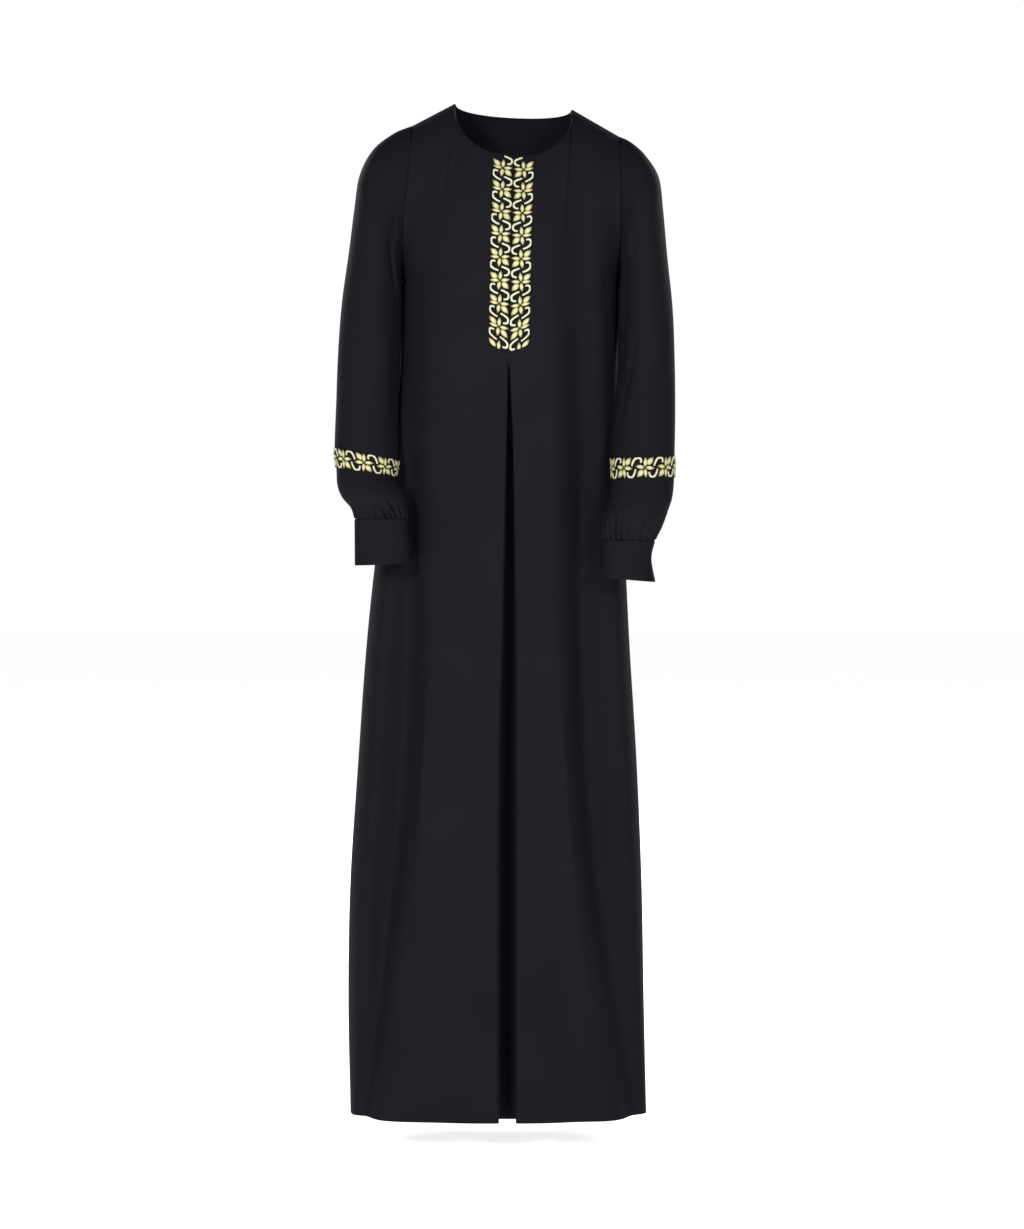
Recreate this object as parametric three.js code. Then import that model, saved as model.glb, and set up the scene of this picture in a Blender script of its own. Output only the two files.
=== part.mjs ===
// A full-length black abaya in the shape it has when worn, hollow and open at the neck, hem and cuffs.
// Front with a centre pleat, back, two long sleeves gathered into straight cuffs, and leaf-pattern trims.
// Millimetres. +Z up, the front faces -Y. The origin is midway between the two neck points, where the
// wearer's shoulders carry the garment. "Left" is the side of negative X, as seen from the front.
import * as THREE from 'three';

const clothThickness = 1.6;
const trimThickness = 1.2;
const seamGap = 0.4; // between two pieces that are sewn edge to edge
const trimLift = 0.5; // between a trim and the cloth it lies on

const underarmZ = -242;
const shoulderSeamY = 8;
const squareness = 2.2; // 2 gives elliptical body sections, more gives boxier ones

const black = new THREE.MeshStandardMaterial({ color: 0x232228, roughness: 0.85, metalness: 0 });
const gold = new THREE.MeshStandardMaterial({ color: 0xd9d199, roughness: 0.5, metalness: 0 });

// Body sections below the underarms, read from the outline: the middle, half the width, and how far the
// front and the back stand off the side seams.
const bodySections = [
  { z: -242, middle: -2, halfWidth: 148.5, front: 112, back: 108 },
  { z: -363, middle: -4, halfWidth: 150, front: 110, back: 101 },
  { z: -450, middle: -8, halfWidth: 156, front: 110, back: 99 },
  { z: -540, middle: -12, halfWidth: 164, front: 114, back: 104 },
  { z: -630, middle: -16, halfWidth: 172, front: 120, back: 115 },
  { z: -735, middle: -19, halfWidth: 180, front: 126, back: 122 },
  { z: -900, middle: -20, halfWidth: 191, front: 134, back: 129 },
  { z: -1065, middle: -22, halfWidth: 200, front: 140, back: 135 },
  { z: -1229, middle: -22, halfWidth: 203, front: 145, back: 140 },
  { z: -1382, middle: -19, halfWidth: 203, front: 150, back: 145 },
];

// Heights of the cross-wise mesh lines below the underarms, from there to the hem.
const bodyLevels = [-242, -294, -346, -384, -440, -510, -595, -690, -800, -925, -1065, -1220, -1382];
const yokeRows = 12; // mesh rows between the underarms and the shoulders, and half the sleeve's columns

// The centre-front pleat: it opens below the tip of the trim. mouth is half the slot that shows,
// wing is half the widest part of the fold behind it, and depth is how far that fold goes back.
const pleatTipZ = -346;
const pleatSections = [
  { z: -346, middle: -4.5, mouth: 1, wing: 2, depth: 1 },
  { z: -384, middle: -4, mouth: 1.6, wing: 5, depth: 13 },
  { z: -455, middle: -3, mouth: 3.8, wing: 16, depth: 23 },
  { z: -560, middle: -3.5, mouth: 5.8, wing: 27, depth: 30 },
  { z: -735, middle: -4.5, mouth: 7.4, wing: 37, depth: 36 },
  { z: -900, middle: -6.5, mouth: 10.4, wing: 44, depth: 41 },
  { z: -1382, middle: -7, mouth: 11, wing: 50, depth: 46 },
];
const pleatSpreadShare = 0.5; // how far the cloth beside the mouth moves over, as a share of it
const pleatRim = 2.6; // from the edge of the mouth to where the cloth lies flat again
// The fold's outline on one side of its middle, as shares of mouth, wing and depth plus fixed distances.
const pleatOutline = [
  { mouth: 0, wing: 0, depth: 1, across: 0, back: 0, flat: 0 },
  { mouth: 0, wing: 0.64, depth: 0.97, across: 0, back: 0, flat: 1 },
  { mouth: 0, wing: 0.95, depth: 0.76, across: 0, back: 0, flat: 2 },
  { mouth: 0, wing: 0.9, depth: 0.42, across: 0, back: 0, flat: 3 },
  { mouth: 1, wing: 0, depth: 0.06, across: 0.4, back: 2.8, flat: 4 },
  { mouth: 1, wing: 0, depth: 0, across: 0, back: 2.2, flat: 5 },
  { mouth: 1, wing: 0, depth: 0, across: 0.7, back: 0.5, flat: 6 },
  { mouth: 1, wing: 0, depth: 0, across: pleatRim, back: 0, flat: 7 },
];

// The neck hole and the shoulder points.
const neck = {
  middleX: 2,
  halfWidth: 80,
  pointZ: { left: 0, right: -8 },
  front: { drop: 73, reach: 80 },
  back: { drop: 12, reach: 54 },
  squareness: 2.2,
  forwardness: 0.7, // below 1 the neckline runs forwards before it drops
};
const shoulderPoint = {
  left: new THREE.Vector3(-137, shoulderSeamY, -31),
  right: new THREE.Vector3(148, shoulderSeamY, -46),
};
// Mesh columns, counted from the edge of the front trim or from the middle of the back: the one that meets
// the neck point, and the last one, at the side seam and the shoulder point.
const neckColumns = { front: { left: 4, right: 5 }, back: { left: 4, right: 4 } };
const seamColumns = { front: 12, back: 10 };

// How the cloth leaves the underarm level and how it arrives at the neckline and the shoulder seam.
const yoke = {
  armhole: { reach: 250, rise: 60, sharpness: 3.5 },
  neckline: { front: { backwards: 70, rise: 130 }, back: { backwards: 90, rise: 150 } },
  neckPoint: { backwards: 215, rise: 40 },
  shoulderPoint: { backwards: 250, rise: 40 },
};

// Long soft folds of the skirt and chest, from the middle outwards: the mesh column that runs along each,
// where it lies across the body at four heights, and how far it stands out (negative: sinks in) there.
const foldHeights = [-240, -600, -950, -1382];
const frontFolds = {
  left: [
    { name: 'flat beside the trim', column: 2, x: [-54, -58, -60, -80], out: [1, 1, 1, 0] },
    { name: 'ridge', column: 5, x: [-97, -101, -108, -150], out: [1.5, 5, 6, 8] },
    { name: 'hollow', column: 7, x: [-122, -126, -140, -190], out: [0, -7, -9, -6] },
    { name: 'roll near the side', column: 9, x: [-138, -166, -190, -212], out: [0, 2, 5, 3] },
  ],
  right: [
    { name: 'thin ridge', column: 3, x: [50, 56, 66, 122], out: [0, 2, 5, 7] },
    { name: 'hollow', column: 5, x: [76, 80, 93, 156], out: [-4, -11, -10, -6] },
    { name: 'roll near the side', column: 9, x: [122, 138, 157, 173], out: [0, 2, 7, 5] },
  ],
};
const backFolds = {
  middle: { name: 'middle ridge', column: 0, x: [-6, -10, -8, -14], out: [0, 3, 6, 8] },
  left: [
    { name: 'hollow', column: 3, x: [-52, -58, -66, -84], out: [0, -6, -8, -8] },
    { name: 'ridge', column: 5, x: [-86, -94, -106, -130], out: [2, 6, 8, 9] },
    { name: 'outer hollow', column: 7, x: [-118, -130, -148, -178], out: [0, -4, -6, -5] },
  ],
  right: [
    { name: 'hollow', column: 3, x: [48, 46, 54, 62], out: [-1, -6, -9, -8] },
    { name: 'ridge', column: 5, x: [88, 84, 98, 108], out: [2, 5, 8, 10] },
    { name: 'outer hollow', column: 7, x: [118, 122, 138, 154], out: [0, -3, -5, -5] },
  ],
};

// The sleeves, ring by ring from the armhole to the cuff. Each ring is an oval: its outer and inner ends,
// its middle from front to back and half its depth, and how far its gathers stand out.
const sleeves = {
  left: [
    { outerX: -137.4, outerZ: -31, innerX: -150.9, innerZ: -242, middleY: 0, halfDepth: 62, gather: 0 },
    { outerX: -162, outerZ: -42, innerX: -152.2, innerZ: -247, middleY: 1, halfDepth: 64, gather: 0 },
    { outerX: -190, outerZ: -65, innerX: -153.4, innerZ: -252, middleY: 0, halfDepth: 65, gather: 0 },
    { outerX: -208, outerZ: -100, innerX: -154.2, innerZ: -258, middleY: -2, halfDepth: 63, gather: 0 },
    { outerX: -215, outerZ: -145, innerX: -154.8, innerZ: -266, middleY: -5, halfDepth: 60, gather: 0 },
    { outerX: -222.5, outerZ: -205, innerX: -155, innerZ: -280, middleY: -11, halfDepth: 57, gather: 0 },
    { outerX: -232, outerZ: -275, innerX: -154.6, innerZ: -310, middleY: -22, halfDepth: 53, gather: 0 },
    { outerX: -237, outerZ: -345, innerX: -154, innerZ: -362, middleY: -38, halfDepth: 49, gather: 0 },
    { outerX: -239, outerZ: -410, innerX: -154, innerZ: -422, middleY: -57, halfDepth: 46, gather: 0 },
    { outerX: -240.6, outerZ: -472, innerX: -154, innerZ: -489, middleY: -76, halfDepth: 44, gather: 0 },
    { outerX: -238, outerZ: -499, innerX: -156.6, innerZ: -512, middleY: -85, halfDepth: 42, gather: 0 },
    { outerX: -236, outerZ: -524, innerX: -146, innerZ: -527, middleY: -95, halfDepth: 43, gather: 1.2 },
    { outerX: -229, outerZ: -540, innerX: -141.5, innerZ: -540, middleY: -100, halfDepth: 42, gather: 2.6 },
    { outerX: -218, outerZ: -552, innerX: -140.5, innerZ: -552, middleY: -103, halfDepth: 36, gather: 3 },
    { outerX: -214, outerZ: -561, innerX: -140.5, innerZ: -561, middleY: -104, halfDepth: 30, gather: 2.2 },
    { outerX: -212.8, outerZ: -567.6, innerX: -140.7, innerZ: -567.6, middleY: -104, halfDepth: 27, gather: 1 },
  ],
  right: [
    { outerX: 148.4, outerZ: -46, innerX: 146.9, innerZ: -242, middleY: 0, halfDepth: 62, gather: 0 },
    { outerX: 163, outerZ: -54, innerX: 148, innerZ: -247, middleY: 1, halfDepth: 64, gather: 0 },
    { outerX: 182, outerZ: -72, innerX: 149, innerZ: -252, middleY: 0, halfDepth: 65, gather: 0 },
    { outerX: 200.5, outerZ: -103, innerX: 149.6, innerZ: -258, middleY: -2, halfDepth: 63, gather: 0 },
    { outerX: 206.5, outerZ: -150, innerX: 149.8, innerZ: -266, middleY: -5, halfDepth: 60, gather: 0 },
    { outerX: 212, outerZ: -212, innerX: 149.8, innerZ: -282, middleY: -11, halfDepth: 57, gather: 0 },
    { outerX: 219, outerZ: -282, innerX: 149, innerZ: -315, middleY: -24, halfDepth: 53, gather: 0 },
    { outerX: 221.5, outerZ: -352, innerX: 144.5, innerZ: -368, middleY: -44, halfDepth: 48, gather: 0 },
    { outerX: 221.8, outerZ: -420, innerX: 138, innerZ: -428, middleY: -63, halfDepth: 45, gather: 0 },
    { outerX: 220.4, outerZ: -484, innerX: 134.6, innerZ: -486, middleY: -80, halfDepth: 43, gather: 0 },
    { outerX: 219.6, outerZ: -512, innerX: 135.4, innerZ: -515, middleY: -88, halfDepth: 42, gather: 0 },
    { outerX: 217, outerZ: -538, innerX: 130.5, innerZ: -541, middleY: -96, halfDepth: 43, gather: 1 },
    { outerX: 210.5, outerZ: -558, innerX: 124, innerZ: -560, middleY: -102, halfDepth: 42, gather: 2.4 },
    { outerX: 203, outerZ: -577, innerX: 121.5, innerZ: -578, middleY: -105, halfDepth: 36, gather: 3 },
    { outerX: 197, outerZ: -589, innerX: 120.6, innerZ: -589.5, middleY: -106, halfDepth: 30, gather: 2.2 },
    { outerX: 193.4, outerZ: -596.6, innerX: 120.4, innerZ: -596.6, middleY: -106, halfDepth: 27, gather: 1 },
  ],
};
const cuffs = {
  left: [
    { outerX: -212.8, outerZ: -568, innerX: -140.7, innerZ: -568, middleY: -104, halfDepth: 27, gather: 0 },
    { outerX: -212.6, outerZ: -600, innerX: -138.8, innerZ: -599, middleY: -106, halfDepth: 27, gather: 0 },
    { outerX: -212.4, outerZ: -631, innerX: -136.2, innerZ: -628, middleY: -108, halfDepth: 28, gather: 0 },
  ],
  right: [
    { outerX: 193.4, outerZ: -597, innerX: 120.4, innerZ: -597, middleY: -106, halfDepth: 27, gather: 0 },
    { outerX: 188.4, outerZ: -622, innerX: 120.2, innerZ: -620, middleY: -108, halfDepth: 27, gather: 0 },
    { outerX: 193.6, outerZ: -653, innerX: 120.6, innerZ: -647, middleY: -110, halfDepth: 28, gather: 0 },
  ],
};
const sleeveColumns = 2 * yokeRows;
const columnsPerGatherRing = 3; // each upper column splits into this many below the sleeve trim
const gatherCount = 18;
const trimTopRing = 9; // the sleeve trim lies between this ring and the next
const ringsFromArmhole = 4; // over these the armhole's egg shape turns into an oval

// Soft creases on the sleeves: the direction round the sleeve (0 outside, 90 in front, 180 inside),
// the first and last ring they cross, and how far they stand out.
const sleeveFolds = [
  { name: 'hollow in front of the armhole', degrees: 128, first: 1, last: 6, out: -4, spread: 22 },
  { name: 'roll down the front', degrees: 80, first: 2, last: 9, out: 3, spread: 26 },
  { name: 'elbow hollow inside', degrees: 150, first: 5, last: 9, out: -3, spread: 20 },
  { name: 'hollow behind the armhole', degrees: 235, first: 1, last: 7, out: -4, spread: 24 },
  { name: 'roll down the back', degrees: 300, first: 4, last: 9, out: 3, spread: 24 },
];

// The two front trims lie side by side over the top of the pleat and end in a shallow point.
const frontTrim = { width: 27.5, middleGap: 0.5, pointRise: 13, innerColumn: 6, middleColumn: 0.55 };

// Maths shared by all pieces.

function hermite(from, leaving, to, arriving, t) {
  const t2 = t * t;
  const t3 = t2 * t;
  const start = (2 * t3 - 3 * t2 + 1) * from + (t3 - 2 * t2 + t) * leaving;
  return start + (3 * t2 - 2 * t3) * to + (t3 - t2) * arriving;
}

function hermitePoint(from, leaving, to, arriving, t) {
  const along = (axis) => hermite(from[axis], leaving[axis], to[axis], arriving[axis], t);
  return new THREE.Vector3(along('x'), along('y'), along('z'));
}

function signedPower(value, exponent) {
  return Math.sign(value) * Math.abs(value) ** exponent;
}

// A smooth curve through one column of a table whose rows go down in z.
function smoothColumn(table, column, z) {
  const last = table.length - 1;
  const height = Math.min(Math.max(z, table[last].z), table[0].z);
  const above = Math.min(Math.max(table.findIndex((row) => row.z < height) - 1, 0), last - 1);
  const start = height === table[last].z ? last - 1 : above;
  const slope = (i) => (table[i + 1][column] - table[i][column]) / (table[i + 1].z - table[i].z);
  const step = table[start + 1].z - table[start].z;
  const leaving = start > 0 ? (slope(start - 1) + slope(start)) / 2 : slope(start);
  const arriving = start + 1 < last ? (slope(start) + slope(start + 1)) / 2 : slope(start);
  const t = (height - table[start].z) / step;
  return hermite(table[start][column], leaving * step, table[start + 1][column], arriving * step, t);
}

function smoothStep(low, high, value) {
  const t = Math.min(Math.max((value - low) / (high - low), 0), 1);
  return t * t * (3 - 2 * t);
}

// The body's surface. turn runs from -1 at the left side seam over 0 in the middle to 1 at the right one,
// and facing is -1 for the front and 1 for the back.

function turnAt(x, z) {
  const share = (x - smoothColumn(bodySections, 'middle', z)) / smoothColumn(bodySections, 'halfWidth', z);
  const limited = Math.min(Math.max(share, -1), 1);
  return Math.asin(signedPower(limited, squareness / 2)) / (Math.PI / 2);
}

function foldTable(fold) {
  return foldHeights.map((z, i) => ({ z, x: fold.x[i], out: fold.out[i] }));
}

// Where a column runs at a height: its turn, and how far the fold there stands out.
function foldKnot(fold, z) {
  const table = foldTable(fold);
  const turn = turnAt(smoothColumn(table, 'x', z), z);
  return { column: fold.column, turn, out: smoothColumn(table, 'out', z) };
}

function columnPlace(number, first, folds, seam, z) {
  const knots = [first(z), ...folds.map((fold) => foldKnot(fold, z)), seam];
  const span = Math.max(knots.findIndex((knot) => knot.column >= number) - 1, 0);
  const [from, to] = knots.slice(span, span + 2);
  const share = (number - from.column) / (to.column - from.column);
  return {
    turn: from.turn + (to.turn - from.turn) * share,
    out: from.out + (to.out - from.out) * smoothStep(0, 1, share),
  };
}

function bodyPoint(turn, out, z, facing) {
  const angle = (turn * Math.PI) / 2;
  const halfWidth = smoothColumn(bodySections, 'halfWidth', z);
  const depth = smoothColumn(bodySections, facing < 0 ? 'front' : 'back', z);
  const exponent = 2 / squareness;
  const across = signedPower(Math.sin(angle), exponent) * halfWidth;
  const deep = facing * signedPower(Math.max(Math.cos(angle), 0), exponent) * depth;
  const outwards = new THREE.Vector3(across / halfWidth ** 2, deep / depth ** 2, 0).normalize();
  const middle = smoothColumn(bodySections, 'middle', z);
  return new THREE.Vector3(middle + across, deep, z).addScaledVector(outwards, out);
}

// How low the neckline lies at a share of the way to the neck point: 1 in the middle, 0 at the neck point.
function necklineDepth(share) {
  return Math.max(Math.cos((Math.min(share, 1) * Math.PI) / 2), 0) ** (2 / neck.squareness);
}

// The line along the top of a panel: share runs from 0 in the middle to 1 at the neck point (the neckline)
// and on to 2 at the shoulder point (the shoulder seam).
function topLine(share, side, facing) {
  const shape = facing < 0 ? neck.front : neck.back;
  const sign = side === 'left' ? -1 : 1;
  const middleZ = (neck.pointZ.left + neck.pointZ.right) / 2;
  const seamY = shoulderSeamY + (facing * seamGap) / 2;
  const neckPoint = new THREE.Vector3(neck.middleX + sign * neck.halfWidth, seamY, neck.pointZ[side]);
  if (share >= 1) {
    return neckPoint.lerp(shoulderPoint[side].clone().setY(seamY), share - 1);
  }
  const across = signedPower(Math.sin((share * Math.PI) / 2), 2 / neck.squareness);
  const down = necklineDepth(share);
  return new THREE.Vector3(
    neck.middleX + sign * neck.halfWidth * across,
    seamY + facing * shape.reach * down ** neck.forwardness,
    middleZ + (neckPoint.z - middleZ) * across - shape.drop * down,
  );
}

// Where on the neckline, as a share of the way to the neck point, it is a given distance from the middle.
function necklineShare(distance) {
  return Math.asin((distance / neck.halfWidth) ** (neck.squareness / 2)) / (Math.PI / 2);
}

// The cloth between the underarm level (climb 0) and the top line (climb 1).
function yokePoint(column, climb, facing) {
  const key = facing < 0 ? 'front' : 'back';
  const from = column.below(underarmZ);
  const to = topLine(column.top, column.side, facing);
  const atEdge = column.edge ** yoke.armhole.sharpness;
  const height = to.z - from.z;
  const rise = height + (yoke.armhole.rise - height) * atEdge;
  const leaving = new THREE.Vector3(0, facing * yoke.armhole.reach * atEdge, rise);
  const onShoulder = column.top > 1;
  const low = onShoulder ? yoke.neckPoint : yoke.neckline[key];
  const high = onShoulder ? yoke.shoulderPoint : yoke.neckPoint;
  const share = onShoulder ? column.top - 1 : (1 - necklineDepth(column.top)) ** 2;
  const backwards = low.backwards + (high.backwards - low.backwards) * share;
  const arriving = new THREE.Vector3(0, -facing * backwards, low.rise + (high.rise - low.rise) * share);
  return hermitePoint(from, leaving, to, arriving, climb);
}

// Sheets: outer points, the faces between them, and for each point what to do with its direction when
// the wall gets its thickness.

const asItIs = (direction) => direction;
const acrossSeam = (direction) => direction.setY(0);
const levelEdge = (direction) => direction.setZ(0);

function gridSheet(rowCount, columnCount, pointAt, settleAt) {
  const sheet = { points: [], settle: [], faces: [] };
  for (let row = 0; row < rowCount; row += 1) {
    for (let column = 0; column < columnCount; column += 1) {
      sheet.points.push(pointAt(row, column));
      sheet.settle.push(settleAt(row, column));
    }
  }
  for (let row = 0; row + 1 < rowCount; row += 1) {
    for (let column = 0; column + 1 < columnCount; column += 1) {
      const corner = row * columnCount + column;
      sheet.faces.push([corner, corner + 1, corner + columnCount + 1, corner + columnCount]);
    }
  }
  return sheet;
}

// Rings that close on themselves. A ring may have a whole number of times the points of the one before.
function tubeSheet(rings, flip) {
  const sheet = { points: [], settle: [], faces: [] };
  const starts = [];
  for (const ring of rings) {
    starts.push(sheet.points.length);
    sheet.points.push(...ring.points);
    sheet.settle.push(...ring.points.map(() => ring.settle));
  }
  for (let r = 0; r + 1 < rings.length; r += 1) {
    const count = rings[r].points.length;
    const nextCount = rings[r + 1].points.length;
    const split = nextCount / count;
    const here = (i) => starts[r] + (i % count);
    const next = (i) => starts[r + 1] + (i % nextCount);
    for (let i = 0; i < count; i += 1) {
      const fan = split === 1
        ? [[here(i), here(i + 1), next(i + 1), next(i)]]
        : [
          [here(i), next(split * i + 1), next(split * i)],
          [here(i), here(i + 1), next(split * i + 2), next(split * i + 1)],
          [here(i + 1), next(split * i + 3), next(split * i + 2)],
        ];
      sheet.faces.push(...fan.map((face) => (flip ? face.reverse() : face)));
    }
  }
  return sheet;
}

function outwardDirections(sheet) {
  const directions = sheet.points.map(() => new THREE.Vector3());
  const edgeA = new THREE.Vector3();
  const edgeB = new THREE.Vector3();
  for (const face of sheet.faces) {
    const [a, b, c] = face.map((i) => sheet.points[i]);
    const d = sheet.points[face[face.length - 1]];
    const normal = edgeA.subVectors(c, a).cross(edgeB.subVectors(d, b)).clone();
    if (face.length === 3) normal.copy(edgeA.subVectors(b, a).cross(edgeB.subVectors(c, a)));
    face.forEach((i) => directions[i].add(normal));
  }
  return directions.map((direction, i) => sheet.settle[i](direction.normalize()).normalize());
}

// A closed wall: the sheet, a second sheet behind it, and a strip along every free edge.
function wall(sheet, thickness) {
  const count = sheet.points.length;
  const outwards = outwardDirections(sheet);
  const inner = sheet.points.map((point, i) => point.clone().addScaledVector(outwards[i], -thickness));
  const index = [];
  const edges = new Set();
  for (const face of sheet.faces) {
    for (let k = 1; k + 1 < face.length; k += 1) {
      index.push(face[0], face[k], face[k + 1]);
      index.push(face[0] + count, face[k + 1] + count, face[k] + count);
    }
    face.forEach((a, k) => edges.add(`${a} ${face[(k + 1) % face.length]}`));
  }
  for (const edge of edges) {
    const [a, b] = edge.split(' ').map(Number);
    if (!edges.has(`${b} ${a}`)) index.push(b, a, a + count, b, a + count, b + count);
  }
  const geometry = new THREE.BufferGeometry();
  const positions = [...sheet.points, ...inner].flatMap((point) => point.toArray());
  geometry.setAttribute('position', new THREE.Float32BufferAttribute(positions, 3));
  geometry.setIndex(index);
  geometry.computeVertexNormals();
  return geometry;
}

function moveOut(sheet, distance) {
  const outwards = outwardDirections(sheet);
  sheet.points.forEach((point, i) => point.addScaledVector(outwards[i], distance));
  return sheet;
}

// Columns of a body panel, from one side seam to the other. Each knows its point below the underarms,
// its place on the top line, and how near it is to the armhole (edge 1).

function pleatMiddle(z) {
  if (z > pleatTipZ) {
    const neckShare = (z - pleatTipZ) / (-neck.front.drop - pleatTipZ);
    return pleatSections[0].middle + (neck.middleX - pleatSections[0].middle) * neckShare;
  }
  return smoothColumn(pleatSections, 'middle', z);
}

// A column close to the middle of the front: flat above the pleat's tip, and part of its fold below.
function pleatColumn(outline, side) {
  const sign = side === 'left' ? -1 : 1;
  const below = (z) => {
    const open = z < pleatTipZ - 1;
    const size = (name) => smoothColumn(pleatSections, name, z);
    const folded = outline.mouth * size('mouth') + outline.wing * size('wing') + outline.across;
    const away = open ? folded : outline.flat;
    const back = open ? outline.depth * size('depth') + outline.back : 0;
    const middle = pleatMiddle(z);
    const rim = middle + sign * (size('mouth') + pleatRim);
    const onCloth = open && back > 0 ? rim : middle + sign * away;
    const point = bodyPoint(turnAt(onCloth, z), 0, z, -1);
    return point.setX(middle + sign * away).setY(point.y + back);
  };
  return { below, side, top: necklineShare(outline.flat), edge: 0 };
}

// How far the cloth beside the pleat moves over to let it open.
function pleatSpread(z) {
  return z < pleatTipZ ? smoothColumn(pleatSections, 'mouth', z) * pleatSpreadShare : 0;
}

// A column beside the pleat, at a distance from its middle.
function besideColumn(distance, side) {
  const sign = side === 'left' ? -1 : 1;
  const across = (z) => pleatMiddle(z) + sign * (distance + pleatSpread(z));
  const below = (z) => bodyPoint(turnAt(across(z), z), 0, z, -1);
  return { below, side, top: necklineShare(distance), edge: 0 };
}

// A column on the broad part of a panel: number counts from its innermost line (first) to the side seam.
function panelColumn(number, first, firstTop, folds, side, facing) {
  const key = facing < 0 ? 'front' : 'back';
  const sign = side === 'left' ? -1 : 1;
  const seam = { column: seamColumns[key], turn: sign, out: 0 };
  const below = (z) => {
    const place = columnPlace(number, first, folds, seam, z);
    const point = bodyPoint(place.turn, place.out, z, facing);
    return number === seam.column ? point.setY((facing * seamGap) / 2) : point;
  };
  const start = first(underarmZ).turn;
  const edge = (columnPlace(number, first, folds, seam, underarmZ).turn - start) / (sign - start);
  const neckColumn = neckColumns[key][side];
  const top = number <= neckColumn
    ? firstTop + ((1 - firstTop) * number) / neckColumn
    : 1 + (number - neckColumn) / (seam.column - neckColumn);
  return { below, side, top, edge };
}

function panelPoint(column, row, facing) {
  const lowerRows = bodyLevels.length - 1;
  return row <= lowerRows
    ? column.below(bodyLevels[lowerRows - row])
    : yokePoint(column, (row - lowerRows) / yokeRows, facing);
}

const panelRows = bodyLevels.length + yokeRows;

function panelSettle(columns) {
  return (row, column) => {
    const { top } = columns[column];
    const atSide = column === 0 || column === columns.length - 1;
    if (row === 0) return levelEdge;
    if (atSide && row < bodyLevels.length) return acrossSeam;
    return row === panelRows - 1 && top >= 1 ? acrossSeam : asItIs;
  };
}

// Front

const trimEdge = frontTrim.width + frontTrim.middleGap / 2;
const trimMiddle = trimEdge * frontTrim.middleColumn;

function frontHalf(side) {
  const sign = side === 'left' ? -1 : 1;
  const first = (z) => {
    const away = trimEdge + pleatSpread(z);
    return { column: 0, turn: turnAt(pleatMiddle(z) + sign * away, z), out: 0 };
  };
  const panel = [];
  for (let number = 1; number <= seamColumns.front; number += 1) {
    panel.push(panelColumn(number, first, necklineShare(trimEdge), frontFolds[side], side, -1));
  }
  const folded = pleatOutline.slice(1).map((outline) => pleatColumn(outline, side));
  return [...folded, besideColumn(trimMiddle, side), besideColumn(trimEdge, side), ...panel];
}

const frontColumns = [
  ...frontHalf('left').reverse(),
  pleatColumn(pleatOutline[0], 'right'),
  ...frontHalf('right'),
];

function frontSheet() {
  const pointAt = (row, column) => panelPoint(frontColumns[column], row, -1);
  return gridSheet(panelRows, frontColumns.length, pointAt, panelSettle(frontColumns));
}

// Back

function backColumn(number, side) {
  return panelColumn(number, (z) => foldKnot(backFolds.middle, z), 0, backFolds[side], side, 1);
}

function backHalf(side) {
  const half = [];
  for (let number = 1; number <= seamColumns.back; number += 1) {
    half.push(backColumn(number, side));
  }
  return half;
}

function backSheet() {
  const columns = [...backHalf('right').reverse(), backColumn(0, 'left'), ...backHalf('left')];
  const pointAt = (row, column) => panelPoint(columns[column], row, 1);
  return gridSheet(panelRows, columns.length, pointAt, panelSettle(columns));
}

// Sleeves

function armholeLoop(side) {
  const frontEdge = side === 'left' ? frontColumns[0] : frontColumns[frontColumns.length - 1];
  const backEdge = backColumn(seamColumns.back, side);
  const sign = side === 'left' ? -1 : 1;
  const loop = [];
  for (let i = 0; i < sleeveColumns; i += 1) {
    const climb = Math.abs(1 - i / yokeRows);
    const point = i <= yokeRows ? yokePoint(frontEdge, climb, -1) : yokePoint(backEdge, climb, 1);
    if (i === 0) point.setY(shoulderSeamY);
    if (i === yokeRows) point.setY(0);
    loop.push(point.setX(point.x + sign * seamGap));
  }
  return loop;
}

function creaseAt(degrees, ring) {
  return sleeveFolds.reduce((sum, fold) => {
    const span = (ring - fold.first + 0.5) / (fold.last - fold.first + 1);
    if (span <= 0 || span >= 1) return sum;
    const away = (((degrees - fold.degrees + 540) % 360) - 180) / fold.spread;
    return sum + fold.out * Math.sin(Math.PI * span) * Math.exp(-away * away);
  }, 0);
}

// One ring of a sleeve or cuff as points, from its outer end over the front to the inner end and back.
function ringPoints(ring, count, ringNumber, loop) {
  const outer = new THREE.Vector3(ring.outerX, ring.middleY, ring.outerZ);
  const inner = new THREE.Vector3(ring.innerX, ring.middleY, ring.innerZ);
  const middle = outer.clone().lerp(inner, 0.5);
  const outwards = outer.clone().sub(middle);
  const oval = loop ? smoothStep(0, ringsFromArmhole, ringNumber) : 1;
  const points = [];
  for (let i = 0; i < count; i += 1) {
    const angle = (2 * Math.PI * i) / count;
    let along = Math.cos(angle);
    let forwards = Math.sin(angle) * ring.halfDepth;
    if (oval < 1) {
      const top = loop[0];
      const bottom = loop[yokeRows];
      const share = (loop[i].z - bottom.z) / (top.z - bottom.z);
      along += (2 * share - 1 - along) * (1 - oval);
      forwards += (-loop[i].y - forwards) * (1 - oval);
    }
    const wave = Math.cos((gatherCount * 2 * Math.PI * i) / count) * ring.gather;
    const crease = loop ? creaseAt((angle * 180) / Math.PI, ringNumber) : 0;
    const point = middle.clone().addScaledVector(outwards, along).setY(ring.middleY - forwards);
    const away = point.clone().sub(middle).normalize();
    points.push(point.addScaledVector(away, wave + crease));
  }
  return points;
}

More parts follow.
